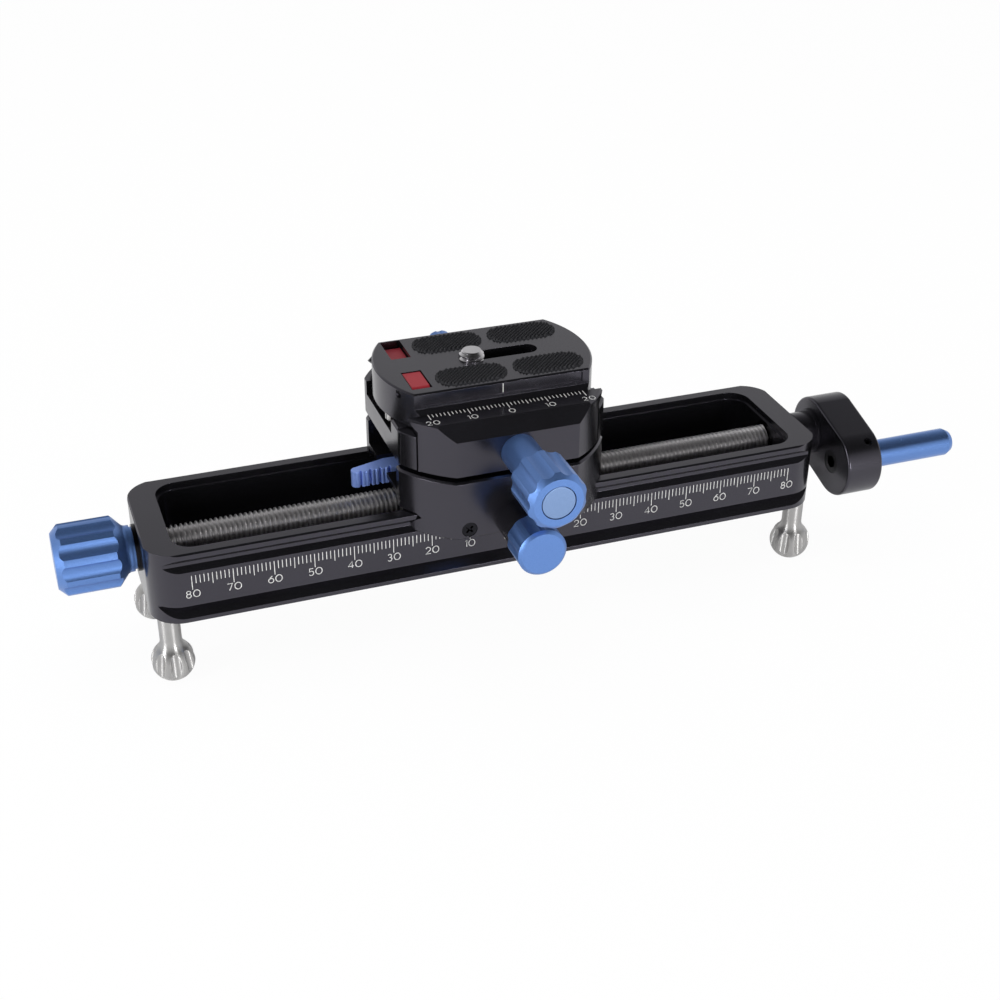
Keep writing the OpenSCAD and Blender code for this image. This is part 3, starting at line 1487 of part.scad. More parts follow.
module rear_flag() {
  color("#8c2f38") translate([0, rear_pin_y, rear_pin_z]) mirror([0, 1, 0])
    flag(rear_pin_y - rear_window_in - part_gap);
}

// Pins of both flags
module flag_pins() {
  color("#8f8f90") {
    rod_x(flag_pin_r, flag_pin_x0, flag_pin_x1 - side_gap, -front_pin_y, front_pin_z);
    rod_x(flag_pin_r, flag_pin_x0, flag_pin_x1 - side_gap, rear_pin_y, rear_pin_z);
  }
}

rail_frame();
screw_bush_left();
screw_bush_right();
foot_front_left();
foot_front_right();
foot_rear_left();
foot_rear_right();
lead_screw();
thrust_washer_left();
thrust_washer_right();
left_knob();
left_knob_set_screw();
crank_collar();
crank_arm();
crank_set_screw();
handle_axle();
handle_clip();
crank_handle();
carriage_block();
front_gib();
gib_screws();
lock_bush();
lock_knob();
lock_stud();
release_lever();
lever_pin();
half_nut();
nut_spring();
pan_bearing_ring();
pan_bolt();
clamp_body();
jaw_guide_pins();
jaw_springs();
front_jaw();
clamp_knob();
clamp_knob_cap();
clamp_stud();
pan_lock_knob();
pan_lock_stud();
pan_lock_shoe();
camera_plate();
plate_pad_front_left();
plate_pad_front_right();
plate_pad_rear_left();
plate_pad_rear_right();
plate_stop_screws();
camera_screw();
camera_screw_washer();
front_flag();
rear_flag();
flag_pins();
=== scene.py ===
import bpy
import json
import math
from mathutils import Matrix, Vector

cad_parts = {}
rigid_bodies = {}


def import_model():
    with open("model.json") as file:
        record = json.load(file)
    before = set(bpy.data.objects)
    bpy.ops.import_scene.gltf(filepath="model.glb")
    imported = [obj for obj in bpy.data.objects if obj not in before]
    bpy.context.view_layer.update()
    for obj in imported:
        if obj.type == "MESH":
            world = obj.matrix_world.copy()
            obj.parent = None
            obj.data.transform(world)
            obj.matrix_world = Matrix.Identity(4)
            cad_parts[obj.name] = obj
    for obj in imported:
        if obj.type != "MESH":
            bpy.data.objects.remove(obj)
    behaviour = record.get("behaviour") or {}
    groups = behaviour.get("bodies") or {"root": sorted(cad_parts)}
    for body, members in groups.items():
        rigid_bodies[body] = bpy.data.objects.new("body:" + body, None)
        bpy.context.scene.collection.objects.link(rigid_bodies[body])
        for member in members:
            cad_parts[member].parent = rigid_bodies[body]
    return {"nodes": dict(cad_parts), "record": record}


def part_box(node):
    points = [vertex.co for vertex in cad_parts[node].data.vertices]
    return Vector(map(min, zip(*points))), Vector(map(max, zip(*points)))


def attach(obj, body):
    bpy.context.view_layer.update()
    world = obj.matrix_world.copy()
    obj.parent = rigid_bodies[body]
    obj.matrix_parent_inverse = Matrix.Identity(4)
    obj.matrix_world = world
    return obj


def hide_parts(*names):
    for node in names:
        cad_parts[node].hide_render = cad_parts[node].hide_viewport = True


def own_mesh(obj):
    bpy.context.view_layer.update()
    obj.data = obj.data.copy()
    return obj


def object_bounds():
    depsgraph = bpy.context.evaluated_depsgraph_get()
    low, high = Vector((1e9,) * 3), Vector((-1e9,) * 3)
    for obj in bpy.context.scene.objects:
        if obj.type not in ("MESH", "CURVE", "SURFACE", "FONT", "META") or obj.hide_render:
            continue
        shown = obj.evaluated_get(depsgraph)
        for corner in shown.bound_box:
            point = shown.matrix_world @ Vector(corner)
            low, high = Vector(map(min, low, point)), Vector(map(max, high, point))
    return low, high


for leftover in list(bpy.data.objects):
    bpy.data.objects.remove(leftover)  # Blender's own start-up cube, lamp and camera
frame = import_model()
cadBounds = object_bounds()
nodes = frame["nodes"]
mm = 0.001  # every look below is in millimetres and degrees


# Small helpers

def hexColour(text):
    # a screen colour turned into the linear one that Blender mixes
    parts = [int(text[i:i + 2], 16) / 255 for i in (1, 3, 5)]
    linear = [p / 12.92 if p <= 0.04045 else ((p + 0.055) / 1.055) ** 2.4 for p in parts]
    return (*linear, 1.0)


def addNode(tree, kind, settings=None, links=None):
    # settings are the node's own fields or its sockets, links are what feeds its sockets
    node = tree.nodes.new(kind)
    for key, value in (settings or {}).items():
        if isinstance(key, int) or key in node.inputs:
            node.inputs[key].default_value = value
        else:
            setattr(node, key, value)
    for key, source in (links or {}).items():
        tree.links.new(source, node.inputs[key])
    return node


def selectOnly(*items):
    bpy.ops.object.select_all(action='DESELECT')
    for item in items:
        item.select_set(True)
    bpy.context.view_layer.objects.active = items[0]


def editAll(item):
    selectOnly(item)
    bpy.ops.object.mode_set(mode='EDIT')
    bpy.ops.mesh.select_all(action='SELECT')


def settle(item):
    # a finished piece stands at the origin, with its place in its mesh
    bpy.ops.object.mode_set(mode='OBJECT')
    selectOnly(item)
    bpy.ops.object.transform_apply(location=True, rotation=True, scale=True)


def smooth(item, degrees=30, flats=True):
    selectOnly(item)
    bpy.ops.object.shade_smooth_by_angle(angle=math.radians(degrees))
    if flats:  # broad faces stay flat and only the narrow rounded edges bend the light
        applyModifier(item, 'WEIGHTED_NORMAL', mode='FACE_AREA_WITH_ANGLE', weight=90, keep_sharp=True)


def applyModifier(item, kind, **settings):
    selectOnly(item)
    modifier = item.modifiers.new(kind.title(), kind)
    for key, value in settings.items():
        setattr(modifier, key, value)
    bpy.ops.object.modifier_apply(modifier=modifier.name)


def joinPieces(name, items):
    selectOnly(*items)
    if len(items) > 1:
        bpy.ops.object.join()
    joined = bpy.context.view_layer.objects.active
    bpy.ops.object.transform_apply(location=True, rotation=True, scale=True)
    joined.name = name
    joined.data.name = name
    return joined


def dress(item, material):
    item.data.materials.clear()
    item.data.materials.append(material)


# Shapes drawn point by point

def arcPoints(x, y, radius, start, end, count):
    angles = [math.radians(start + (end - start) * i / count) for i in range(count + 1)]
    return [(x + radius * math.cos(a), y + radius * math.sin(a)) for a in angles]


def drawLine(name, points, upright=True):
    # one point is dragged from corner to corner in edit mode; upright puts the second number on Z
    bpy.ops.object.select_all(action='DESELECT')
    bpy.ops.mesh.primitive_plane_add(size=mm)
    item = bpy.context.object
    item.name = name
    bpy.ops.object.mode_set(mode='EDIT')
    bpy.ops.mesh.select_all(action='SELECT')
    bpy.ops.mesh.merge(type='CENTER')
    last = (0, 0)
    for number, point in enumerate(points):
        across, up = (point[0] - last[0]) * mm, (point[1] - last[1]) * mm
        step = (across, 0, up) if upright else (across, up, 0)
        if number == 0:
            bpy.ops.transform.translate(value=step)
        else:
            bpy.ops.mesh.extrude_region_move(TRANSFORM_OT_translate={"value": step})
        last = point
    bpy.ops.object.mode_set(mode='OBJECT')
    return item


def closeUp(item):
    editAll(item)
    bpy.ops.mesh.remove_doubles(threshold=0.000001)
    bpy.ops.mesh.normals_make_consistent(inside=False)
    bpy.ops.object.mode_set(mode='OBJECT')


def turnedShape(name, profile, steps):
    # radius and height points swept round Z, as on a lathe
    item = drawLine(name, profile)
    applyModifier(item, 'SCREW', axis='Z', angle=2 * math.pi, steps=steps, render_steps=steps,
                  use_merge_vertices=True, merge_threshold=0.000001)
    closeUp(item)
    return item


def flatShape(name, outline, height):
    # a closed outline filled and pulled up along Z
    item = drawLine(name, outline, upright=False)
    editAll(item)
    bpy.ops.mesh.edge_face_add()
    bpy.ops.mesh.extrude_region_move(TRANSFORM_OT_translate={"value": (0, 0, height * mm)})
    bpy.ops.object.mode_set(mode='OBJECT')
    closeUp(item)
    return item


def roundEdges(item, width, segments, degrees=30):
    applyModifier(item, 'BEVEL', width=width * mm, segments=segments, limit_method='ANGLE',
                  angle_limit=math.radians(degrees), use_clamp_overlap=True)


def copyOf(item, name):
    twin = bpy.data.objects.new(name, item.data.copy())
    bpy.context.scene.collection.objects.link(twin)
    return twin


def roller(radius, low, high, at, tilt=0.0, around=0.0, sides=40):
    # a plain round cutter that stands at a place out from the Z axis, then is carried round it
    bpy.ops.object.select_all(action='DESELECT')
    bpy.ops.mesh.primitive_cylinder_add(vertices=sides, radius=radius * mm, depth=(high - low) * mm,
                                        location=(0, 0, (low + high) / 2 * mm))
    item = bpy.context.object
    bpy.ops.object.transform_apply(location=True, rotation=True, scale=True)
    item.matrix_world = (Matrix.Rotation(math.radians(around), 4, 'Z') @ Matrix.Translation((at * mm, 0, 0))
                         @ Matrix.Rotation(math.radians(tilt), 4, 'Y'))
    bpy.ops.object.transform_apply(location=True, rotation=True, scale=True)
    return item


def cutAway(item, cutters):
    tool = joinPieces("cutter", cutters)
    applyModifier(item, 'BOOLEAN', operation='DIFFERENCE', object=tool, solver='EXACT')
    bpy.data.objects.remove(tool)


def putInPlace(item, right, up, out, at):
    # the piece's own X, Y and Z turned to three directions of the frame
    item.matrix_world = (Matrix.Translation(Vector(at) * mm)
                         @ Matrix([[axis[row] for axis in (right, up, out)] for row in range(3)]).to_4x4())
    selectOnly(item)
    bpy.ops.object.transform_apply(location=True, rotation=True, scale=True)


def standFor(item, node):
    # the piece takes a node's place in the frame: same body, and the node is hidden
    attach(item, bodyOf[node])
    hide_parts(node)


def fitOut(item, node, material, sharp=30):
    smooth(item, sharp)
    dress(item, material)
    item.name = node + "_detailed"
    standFor(item, node)


# Finishes

def newFinish(name):
    material = bpy.data.materials.new(name)
    material.use_nodes = True
    tree = material.node_tree
    place = addNode(tree, "ShaderNodeTexCoord").outputs["Object"]
    return material, tree, tree.nodes["Principled BSDF"], place


def speckle(tree, place, size, detail):
    # an even random pattern whose spots are about size millimetres wide
    return addNode(tree, "ShaderNodeTexNoise", {"Scale": 1 / (size * mm), "Detail": detail},
                   {"Vector": place}).outputs["Fac"]


def tintBy(tree, shader, colours, pattern):
    tint = addNode(tree, "ShaderNodeMixRGB",
                   {"Color1": hexColour(colours[0]), "Color2": hexColour(colours[1])}, {"Fac": pattern})
    tree.links.new(tint.outputs["Color"], shader.inputs["Base Color"])


def glossBy(tree, shader, limits, pattern):
    gloss = addNode(tree, "ShaderNodeMapRange", {"To Min": limits[0], "To Max": limits[1]},
                    {"Value": pattern})
    tree.links.new(gloss.outputs["Result"], shader.inputs["Roughness"])


def raiseBy(tree, shader, strength, depth, pattern):
    relief = addNode(tree, "ShaderNodeBump", {"Strength": strength, "Distance": depth * mm},
                     {"Height": pattern})
    tree.links.new(relief.outputs["Normal"], shader.inputs["Normal"])


anodisingLook = {
    "dye": ("#0a0a0b", "#101012"),
    "mottle": 24, "mottleEdges": (0.35, 0.7),
    "sheen": "#efeaff",  # the oxide layer reflects a touch of violet
    "roughness": (0.18, 0.26),
    "ior": 1.7,  # aluminium oxide
    "blast": 0.35,  # real blasting pits are about 0.1 mm and would not show
    "pitStrength": 0.12, "pitDepth": 0.02,
}


def blackAnodising(look):
    # Fine-blasted aluminium dyed black: a dark satin skin with a soft sheen and a faint grain
    material, tree, shader, place = newFinish("blasted_black_anodised_aluminium")
    mottle = speckle(tree, place, look["mottle"], 3.0)
    tint = addNode(tree, "ShaderNodeValToRGB", {}, {"Fac": mottle})
    for element, edge, colour in zip(tint.color_ramp.elements, look["mottleEdges"], look["dye"]):
        element.position = edge
        element.color = hexColour(colour)
    tree.links.new(tint.outputs["Color"], shader.inputs["Base Color"])
    grain = speckle(tree, place, look["blast"], 2.0)
    glossBy(tree, shader, look["roughness"], grain)
    raiseBy(tree, shader, look["pitStrength"], look["pitDepth"], grain)
    shader.inputs["IOR"].default_value = look["ior"]
    shader.inputs["Specular Tint"].default_value = hexColour(look["sheen"])
    return material


blueLook = {
    "body": ("#5f83c2", "#6e92d0"),
    "cap": ("#7893be", "#849ec8"),
    # the lever's blue is lighter than the body's: painted light standing in for the front light its ribs
    # catch
    "lever": ("#7f9be6", "#8fabf0"),
    "blasted": (0.32, 0.44),
    "turned": (0.2, 0.3),
    "metal": 0.9,  # the dyed layer scatters some of the light
    "bloom": 0.55,  # share of metal on the lever, lowered so that its lighter dye, which is painted light, shows matt
    "sparkle": 0.4,  # drawn coarser than the real blasting so that it shows
    "pitStrength": 0.3, "pitDepth": 0.02,
}


def blueAnodising(name, dye, roughness, metal, look):
    # Turned and fine-blasted aluminium dyed blue: metal reflections tinted by the dye, with a satin sparkle
    material, tree, shader, place = newFinish(name)
    grain = speckle(tree, place, look["sparkle"], 2.0)
    tintBy(tree, shader, dye, grain)
    glossBy(tree, shader, roughness, grain)
    raiseBy(tree, shader, look["pitStrength"], look["pitDepth"], grain)
    shader.inputs["Metallic"].default_value = metal
    return material


steelLook = {
    # two colours, roughness, width of a turning ring, axis, strength of the rings, stretch of the glints
    "turned_stainless_steel": (("#aeadac", "#c4c3c2"), (0.36, 0.42), 0.3, 'Z', 0.15, 0.85),
    "turned_stainless_bar": (("#b9b7b2", "#cfcdc9"), (0.14, 0.24), 0.3, 'X', 0.25, 0),
    "rolled_stainless_thread": (("#d4d2d3", "#e4e2e3"), (0.3, 0.4), 0.3, 'X', 0.1, 0),
    "plated_screw_steel": (("#c2c0c3", "#d0ced1"), (0.12, 0.22), 0.3, 'Z', 0.2, 0),
    "drawn_spring_wire": (("#8d8d8e", "#a5a5a6"), (0.25, 0.35), 0.4, 'Z', 0.1, 0),
    "black_oxide_steel": (("#1e1e21", "#2f2f33"), (0.16, 0.26), 0.3, 'Z', 0.15, 0),
    "turned_bearing_bronze": (("#9b7a45", "#b48f55"), (0.25, 0.38), 0.3, 'X', 0.15, 0),
}
waveTurn = 20  # Blender's wave texture turns its phase by 20 radians in one unit at scale 1
turningMarks = {"depth": 0.01, "stain": 5.5, "waver": 1.5, "acrossMarks": 0.25}


def turnedMetal(name, colours, roughness, ring, axis, strength, stretch):
    # Bar turned on a lathe: bright metal with fine rings round its axis that draw the light into streaks
    look = turningMarks
    material, tree, shader, place = newFinish(name)
    rings = addNode(tree, "ShaderNodeTexWave",
                    {"bands_direction": axis, "Scale": 2 * math.pi / (waveTurn * ring * mm),
                     "Distortion": look["waver"], "Detail": 1.0, "Detail Scale": 2.0},
                    {"Vector": place}).outputs["Fac"]
    tintBy(tree, shader, colours, speckle(tree, place, look["stain"], 4.0))
    glossBy(tree, shader, roughness, rings)
    raiseBy(tree, shader, strength, look["depth"], rings)
    if stretch:
        turning = addNode(tree, "ShaderNodeTangent", {"direction_type": 'RADIAL', "axis": axis})
        tree.links.new(turning.outputs["Tangent"], shader.inputs["Tangent"])
        shader.inputs["Anisotropic"].default_value = stretch
        shader.inputs["Anisotropic Rotation"].default_value = look["acrossMarks"]
    shader.inputs["Metallic"].default_value = 1.0
    return material


rubberLook = {
    "colours": ("#141417", "#1f1f25"), "grain": 0.45, "strength": 0.3, "depth": 0.04,
    "roughness": 0.72, "ior": 1.5,
}


def rubberFinish(look):
    # Moulded black rubber: matt, a little uneven, with no mirror reflections
    material, tree, shader, place = newFinish("moulded_black_rubber")
    grain = speckle(tree, place, look["grain"], 3.0)
    tintBy(tree, shader, look["colours"], grain)
    raiseBy(tree, shader, look["strength"], look["depth"], grain)
    shader.inputs["Roughness"].default_value = look["roughness"]
    shader.inputs["IOR"].default_value = look["ior"]
    return material


acetalLook = {"colours": ("#18181a", "#222225"), "grain": 1.1, "roughness": 0.5, "ior": 1.48}


def acetalFinish(look):
    # Machined black acetal: matt with a waxy hint of gloss
    material, tree, shader, place = newFinish("machined_black_acetal")
    tintBy(tree, shader, look["colours"], speckle(tree, place, look["grain"], 2.0))
    shader.inputs["Roughness"].default_value = look["roughness"]
    shader.inputs["IOR"].default_value = look["ior"]
    return material


redLook = {
    "bright": ("#9e2430", "#ae2d39"), "deep": ("#8a232e", "#9a2c37"),
    "grain": 0.4, "strength": 0.15, "depth": 0.02, "metal": 0.55, "roughness": 0.4,
}


def redAnodising(name, dye, look):
    # Small milled lug dyed red: a plain satin face with metal behind the dye
    material, tree, shader, place = newFinish(name)
    grain = speckle(tree, place, look["grain"], 2.0)
    tintBy(tree, shader, dye, grain)
    raiseBy(tree, shader, look["strength"], look["depth"], grain)
    shader.inputs["Metallic"].default_value = look["metal"]
    shader.inputs["Roughness"].default_value = look["roughness"]
    return material


inkLook = {"colours": ("#c9c9c8", "#e6e6e4"), "wipe": 0.67, "roughness": 0.55}


def scaleInk(look):
    # White filled engraving: a thin matt paint, slightly uneven from wiping
    material, tree, shader, place = newFinish("white_scale_ink")
    tintBy(tree, shader, look["colours"], speckle(tree, place, look["wipe"], 2.0))
    shader.inputs["Roughness"].default_value = look["roughness"]
    return material


black = blackAnodising(anodisingLook)
blue = blueAnodising("blasted_blue_anodised_aluminium", blueLook["body"], blueLook["blasted"],
                     blueLook["metal"], blueLook)
sleekBlue = blueAnodising("turned_blue_anodised_aluminium", blueLook["body"], blueLook["turned"],
                          blueLook["metal"], blueLook)
paleBlue = blueAnodising("turned_pale_blue_anodised_aluminium", blueLook["cap"], blueLook["blasted"],
                         blueLook["metal"], blueLook)
# a lighter copy of the blue for the lever, with painted light in its dye
leverPaintedLightBlue = blueAnodising("matt_blue_anodised_aluminium_painted_lighter", blueLook["lever"], blueLook["blasted"],
                          blueLook["bloom"], blueLook)
steel = {name: turnedMetal(name, *look) for name, look in steelLook.items()}
footSteel = steel["turned_stainless_steel"]
threadSteel = steel["rolled_stainless_thread"]
oxideSteel = steel["black_oxide_steel"]
rubber = rubberFinish(rubberLook)
ink = scaleInk(inkLook)

finishOf = {
    "anodised_black": black, "anodised_blue": blue, "anodised_blue_cap": paleBlue,
    "stainless_steel": footSteel, "screw_steel": threadSteel, "spring_steel": steel["drawn_spring_wire"],
    "dark_steel": oxideSteel, "bronze": steel["turned_bearing_bronze"], "acetal": acetalFinish(acetalLook),
    "rubber": rubber, "red_front": redAnodising("satin_red_anodised_aluminium", redLook["bright"], redLook),
    "red_rear": redAnodising("satin_dark_red_anodised_aluminium", redLook["deep"], redLook),
}
ownFinish = {
    "thrust_washer_left": blue,  # the photo shows blue right up to the rail's end
    "thrust_washer_right": oxideSteel,
    "handle_clip": steel["turned_stainless_bar"],
    "crank_handle": sleekBlue,
}
slotOf = {part["node"]: part["material_slot"] for part in frame["record"]["subparts"]}
bodyOf = {name: body for body, names in frame["record"]["behaviour"]["bodies"].items() for name in names}
for name, item in nodes.items():
    for slot in item.material_slots:
        slot.material = ownFinish.get(name, finishOf[slotOf[name]])
print("finishes on", len(nodes), "nodes")


# Broken edges on the machined pieces

edgeBreak = {
    "rail_frame": 0.2, "carriage_block": 0.22, "clamp_body": 0.25, "front_jaw": 0.22,
    "camera_plate": 0.2, "crank_handle": 0.2, "pan_lock_knob": 0.1, "crank_collar": 0.12,
}


def mergedCopy(node, name):
    # a node's faces come loose from one another, and are sewn together before any work on them
    item = copyOf(nodes[node], name)
    editAll(item)
    bpy.ops.mesh.remove_doubles(threshold=0.000002)
    bpy.ops.object.mode_set(mode='OBJECT')
    bpy.ops.mesh.customdata_custom_splitnormals_clear()
    return item


def breakEdges(name, width):
    # a copy of the node with its sharp edges rounded over, which catch the light as on the real part
    item = mergedCopy(name, name + "_softened")
    editAll(item)
    bpy.ops.mesh.dissolve_limited(angle_limit=math.radians(0.5))
    bpy.ops.object.mode_set(mode='OBJECT')
    roundEdges(item, width, 2)
    smooth(item, 40)
    standFor(item, name)


for name, width in edgeBreak.items():
    breakEdges(name, width)
print("edges broken on", len(edgeBreak), "pieces")


def makeNutSpring():
    # the half nut's spring, which bears on the seat on the scale side, as a smooth-shaded copy with a mesh of
    # its own
    item = mergedCopy("nut_spring", "nut_spring_coil")
    smooth(item, 60, flats=False)
    standFor(item, "nut_spring")
    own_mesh(item)


makeNutSpring()


# Feet, knobs, crank, lever and pads

corners = ("front_left", "front_right", "rear_left", "rear_right")
screwAxis = sum(corner.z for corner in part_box("lead_screw")) / 2 / mm  # the lead screw's height

footLook = {
    "ballZ": -13.15, "ball": 5.4, "stem": 2.7, "hollow": 3.6, "stud": 1.5, "steps": 96,
    "flutes": 8, "flute": 1.55, "fluteAt": 6.05, "fluteHalf": 8.64, "tilt": -9, "edge": 0.12,
}


def makeFeet(look):
    low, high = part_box("foot_front_left")
    ballZ, ball, hollow = look["ballZ"], look["ball"], look["hollow"]
    bottom = low.z / mm
    outX = look["stem"] + hollow
    rise = math.sqrt((ball + hollow) ** 2 - outX ** 2)
    lean = math.degrees(math.atan2(rise, outX))
    end = -math.degrees(math.asin((ballZ - bottom) / ball))
    profile = [(0, high.z / mm), (look["stud"], high.z / mm), (look["stud"], 0), (look["stem"], 0)]
    profile += arcPoints(outX, ballZ + rise, hollow, 180, 180 + lean, 12)
    profile += arcPoints(0, ballZ, ball, lean, end, 28)[1:]
    profile += [(0, bottom)]
    first = turnedShape("turned_foot", profile, look["steps"])
    turn = 360 / look["flutes"]
    half = look["fluteHalf"]
    flutes = [roller(look["flute"], -half, half, look["fluteAt"], look["tilt"], turn * i)
              for i in range(look["flutes"])]
    for flute in flutes:
        flute.location.z = ballZ * mm
    cutAway(first, flutes)
    roundEdges(first, look["edge"], 2)
    for corner in corners:
        name = "foot_" + corner
        low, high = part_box(name)
        foot = copyOf(first, name)
        foot.location = ((low.x + high.x) / 2, (low.y + high.y) / 2, 0)
        settle(foot)
        fitOut(foot, name, footSteel, 35)
    bpy.data.objects.remove(first)


makeFeet(footLook)


def grooves(look, low, high, turns):
    # cutters for the finger grooves of a knob, one for each angle
    out = look["radius"] - look["depth"] + look["flute"]
    return [roller(look["flute"], low, high, out, 0, turn) for turn in turns]


leftKnobLook = {
    "radius": 8.9, "neck": 5.8, "neckLen": 0.7, "hollow": 1.5, "shoulder": 4.1, "chamfer": 2.0, "steps": 160,
    "flutes": 10, "flute": 3.0, "depth": 0.9, "firstFlute": 30.5, "fluteEnd": 0.75,
    "edge": 0.15,
}


def makeLeftKnob(look):
    low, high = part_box("left_knob")
    length = (high.x - low.x) / mm
    radius, neck = look["radius"], look["neck"]
    # a small hollow leads from the neck into the straight cone behind the grip
    hollow = look["hollow"]
    shoulder = [(neck + hollow - hollow * math.cos(math.radians(a)),
                 look["neckLen"] + hollow * math.sin(math.radians(a))) for a in range(0, 46, 9)]
    shoulder.append((radius, look["shoulder"]))
    profile = [(0, 0), (neck, 0)] + shoulder
    profile += [(radius, length - look["chamfer"]), (radius - look["chamfer"], length), (0, length)]
    item = turnedShape("turned_left_knob", profile, look["steps"])
    turns = [-(look["firstFlute"] + 360 / look["flutes"] * i) for i in range(look["flutes"])]
    cutAway(item, grooves(look, look["neckLen"], length - look["chamfer"] + look["fluteEnd"], turns))
    roundEdges(item, look["edge"], 2)
    putInPlace(item, (0, 1, 0), (0, 0, -1), (-1, 0, 0), (high.x / mm, 0, screwAxis))
    fitOut(item, "left_knob", blue)


makeLeftKnob(leftKnobLook)

armLook = {
    "radius": 9.5, "throw": 12.9, "angle": 15.8, "edge": 0.7, "bore": 3.0,
    "axleHole": 2.0, "headHole": 3.2, "headDepth": 2.7, "screw": 1.1, "screwAlong": 16.0,
    "screwX": 7.4, "screwDepth": 2.4, "screwSunk": 0.5, "screwLen": 1.7, "screwChamfer": 0.2,
    "screwGap": 0.05, "key": 0.62, "keyDepth": 1.2,
}


def makeArm(look):
    low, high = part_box("crank_arm")
    thick = (high.x - low.x) / mm
    radius, throw = look["radius"], look["throw"]
    outline = arcPoints(throw, 0, radius, -90, 90, 48) + arcPoints(0, 0, radius, 90, 270, 48)[:-1]
    item = flatShape("crank_arm_body", outline + [outline[0]], thick)
    roundEdges(item, look["edge"], 4)
    tools = [roller(look["bore"], -1, thick + 1, 0), roller(look["axleHole"], -1, thick + 1, throw),
             roller(look["headHole"], -1, look["headDepth"], throw)]
    for tool in tools:
        cutAway(item, [tool])
    turn = math.radians(look["angle"])
    across = (0, -math.cos(turn), -math.sin(turn))
    up = (0, math.sin(turn), -math.cos(turn))
    # the small screw's place on the arm's upper side, by the handle
    reach = math.sqrt(radius ** 2 - (look["screwAlong"] - throw) ** 2)
    hole = roller(look["screw"], reach - look["screwDepth"], reach + 2, 0)
    hole.matrix_world = (Matrix.Translation((look["screwAlong"] * mm, 0, look["screwX"] * mm))
                         @ Matrix.Rotation(math.radians(90), 4, 'X'))
    cutAway(item, [hole])
    putInPlace(item, across, up, (1, 0, 0), (low.x / mm, 0, screwAxis))
    fitOut(item, "crank_arm", black)
    size, end, chamfer = look["screw"] - look["screwGap"], look["screwLen"], look["screwChamfer"]
    screw = turnedShape("crank_screw_body", [(0, 0), (size, 0), (size, end - chamfer), (size - chamfer, end),
                                             (0, end)], 40)
    cutAway(screw, [roller(look["key"], end - look["keyDepth"], end + look["keyDepth"], 0, sides=6)])
    screw.rotation_euler = (math.radians(90), 0, 0)
    screw.location = (look["screwAlong"] * mm, -(reach - end - look["screwSunk"]) * mm, look["screwX"] * mm)
    settle(screw)
    putInPlace(screw, across, up, (1, 0, 0), (low.x / mm, 0, screwAxis))
    fitOut(screw, "crank_set_screw", oxideSteel)


makeArm(armLook)

leverLook = {
    "nose": (-34.0, -1.0), "noseRadius": 1.5, "noseEnd": 238, "front": -2.5, "shoulder": (-26.0, 2.8),
    "pinX": -15.5, "rear": 2.5, "boss": 3.1, "tipX": -8.5, "tip": 1.3, "hole": 1.53, "edge": 0.12,
    # ribs stand in pairs with a deep groove after each, and the nose has a single one
    "firstRib": -34.05, "pairPitch": 2.53, "pairs": 3, "ribGap": 1.07, "rib": 0.49, "ribEnd": 32,
    "grooveDepth": 1.0,
}


def ribLine(look):
    # the lever's front edge from the nose to the last rib
    front, rib, bottom = look["front"], look["rib"], look["front"] + look["grooveDepth"]
    line = arcPoints(look["firstRib"], front + rib, rib, 180 + look["ribEnd"], 360, 12)
    for number in range(look["pairs"]):
        end = look["firstRib"] + look["pairPitch"] * (number + 1)
        start = end - look["ribGap"]
        line += [(line[-1][0], bottom), (start - rib, bottom)]
        line += arcPoints(start, front + rib, rib, 180, 360 - look["ribEnd"], 12)
        line += arcPoints(end, front + rib, rib, 180 + look["ribEnd"], 360, 12)
    return line + [(line[-1][0], bottom), (line[-1][0] + rib, bottom), (line[-1][0] + rib, front)]


def makeLever(look):
    low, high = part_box("release_lever")
    noseX, noseY = look["nose"]
    pinX, boss, tip = look["pinX"], look["boss"], look["tip"]
    lift = math.degrees(math.asin(tip / boss))
    frontLift = math.degrees(math.asin(-look["front"] / boss))
    rearLift = math.degrees(math.asin(look["rear"] / boss))
    outline = arcPoints(noseX, noseY, look["noseRadius"], 90, look["noseEnd"], 16) + ribLine(look)
    outline += arcPoints(pinX, 0, boss, 180 + frontLift, 360 - lift, 12)
    outline += arcPoints(look["tipX"], 0, tip, -90, 90, 10)
    outline += arcPoints(pinX, 0, boss, lift, 180 - rearLift, 12)
    outline += [look["shoulder"], outline[0]]
    height = (high.z - low.z) / mm
    item = flatShape("release_lever_body", outline, height)
    hole = roller(look["hole"], -1, height + 1, 0)
    hole.location = (pinX * mm, 0, 0)
    cutAway(item, [hole])
    roundEdges(item, look["edge"], 2, 40)
    item.location = (0, 0, low.z)
    settle(item)
    fitOut(item, "release_lever", leverPaintedLightBlue, 40)


makeLever(leverLook)

padLook = {
    "length": 18.0, "width": 9.6, "seat": 0.8, "rise": 0.6, "pitch": 1.15, "studBase": 0.56,
    "studTop": 0.2, "sunk": 0.06, "edge": 0.05, "margin": 0.25,
}


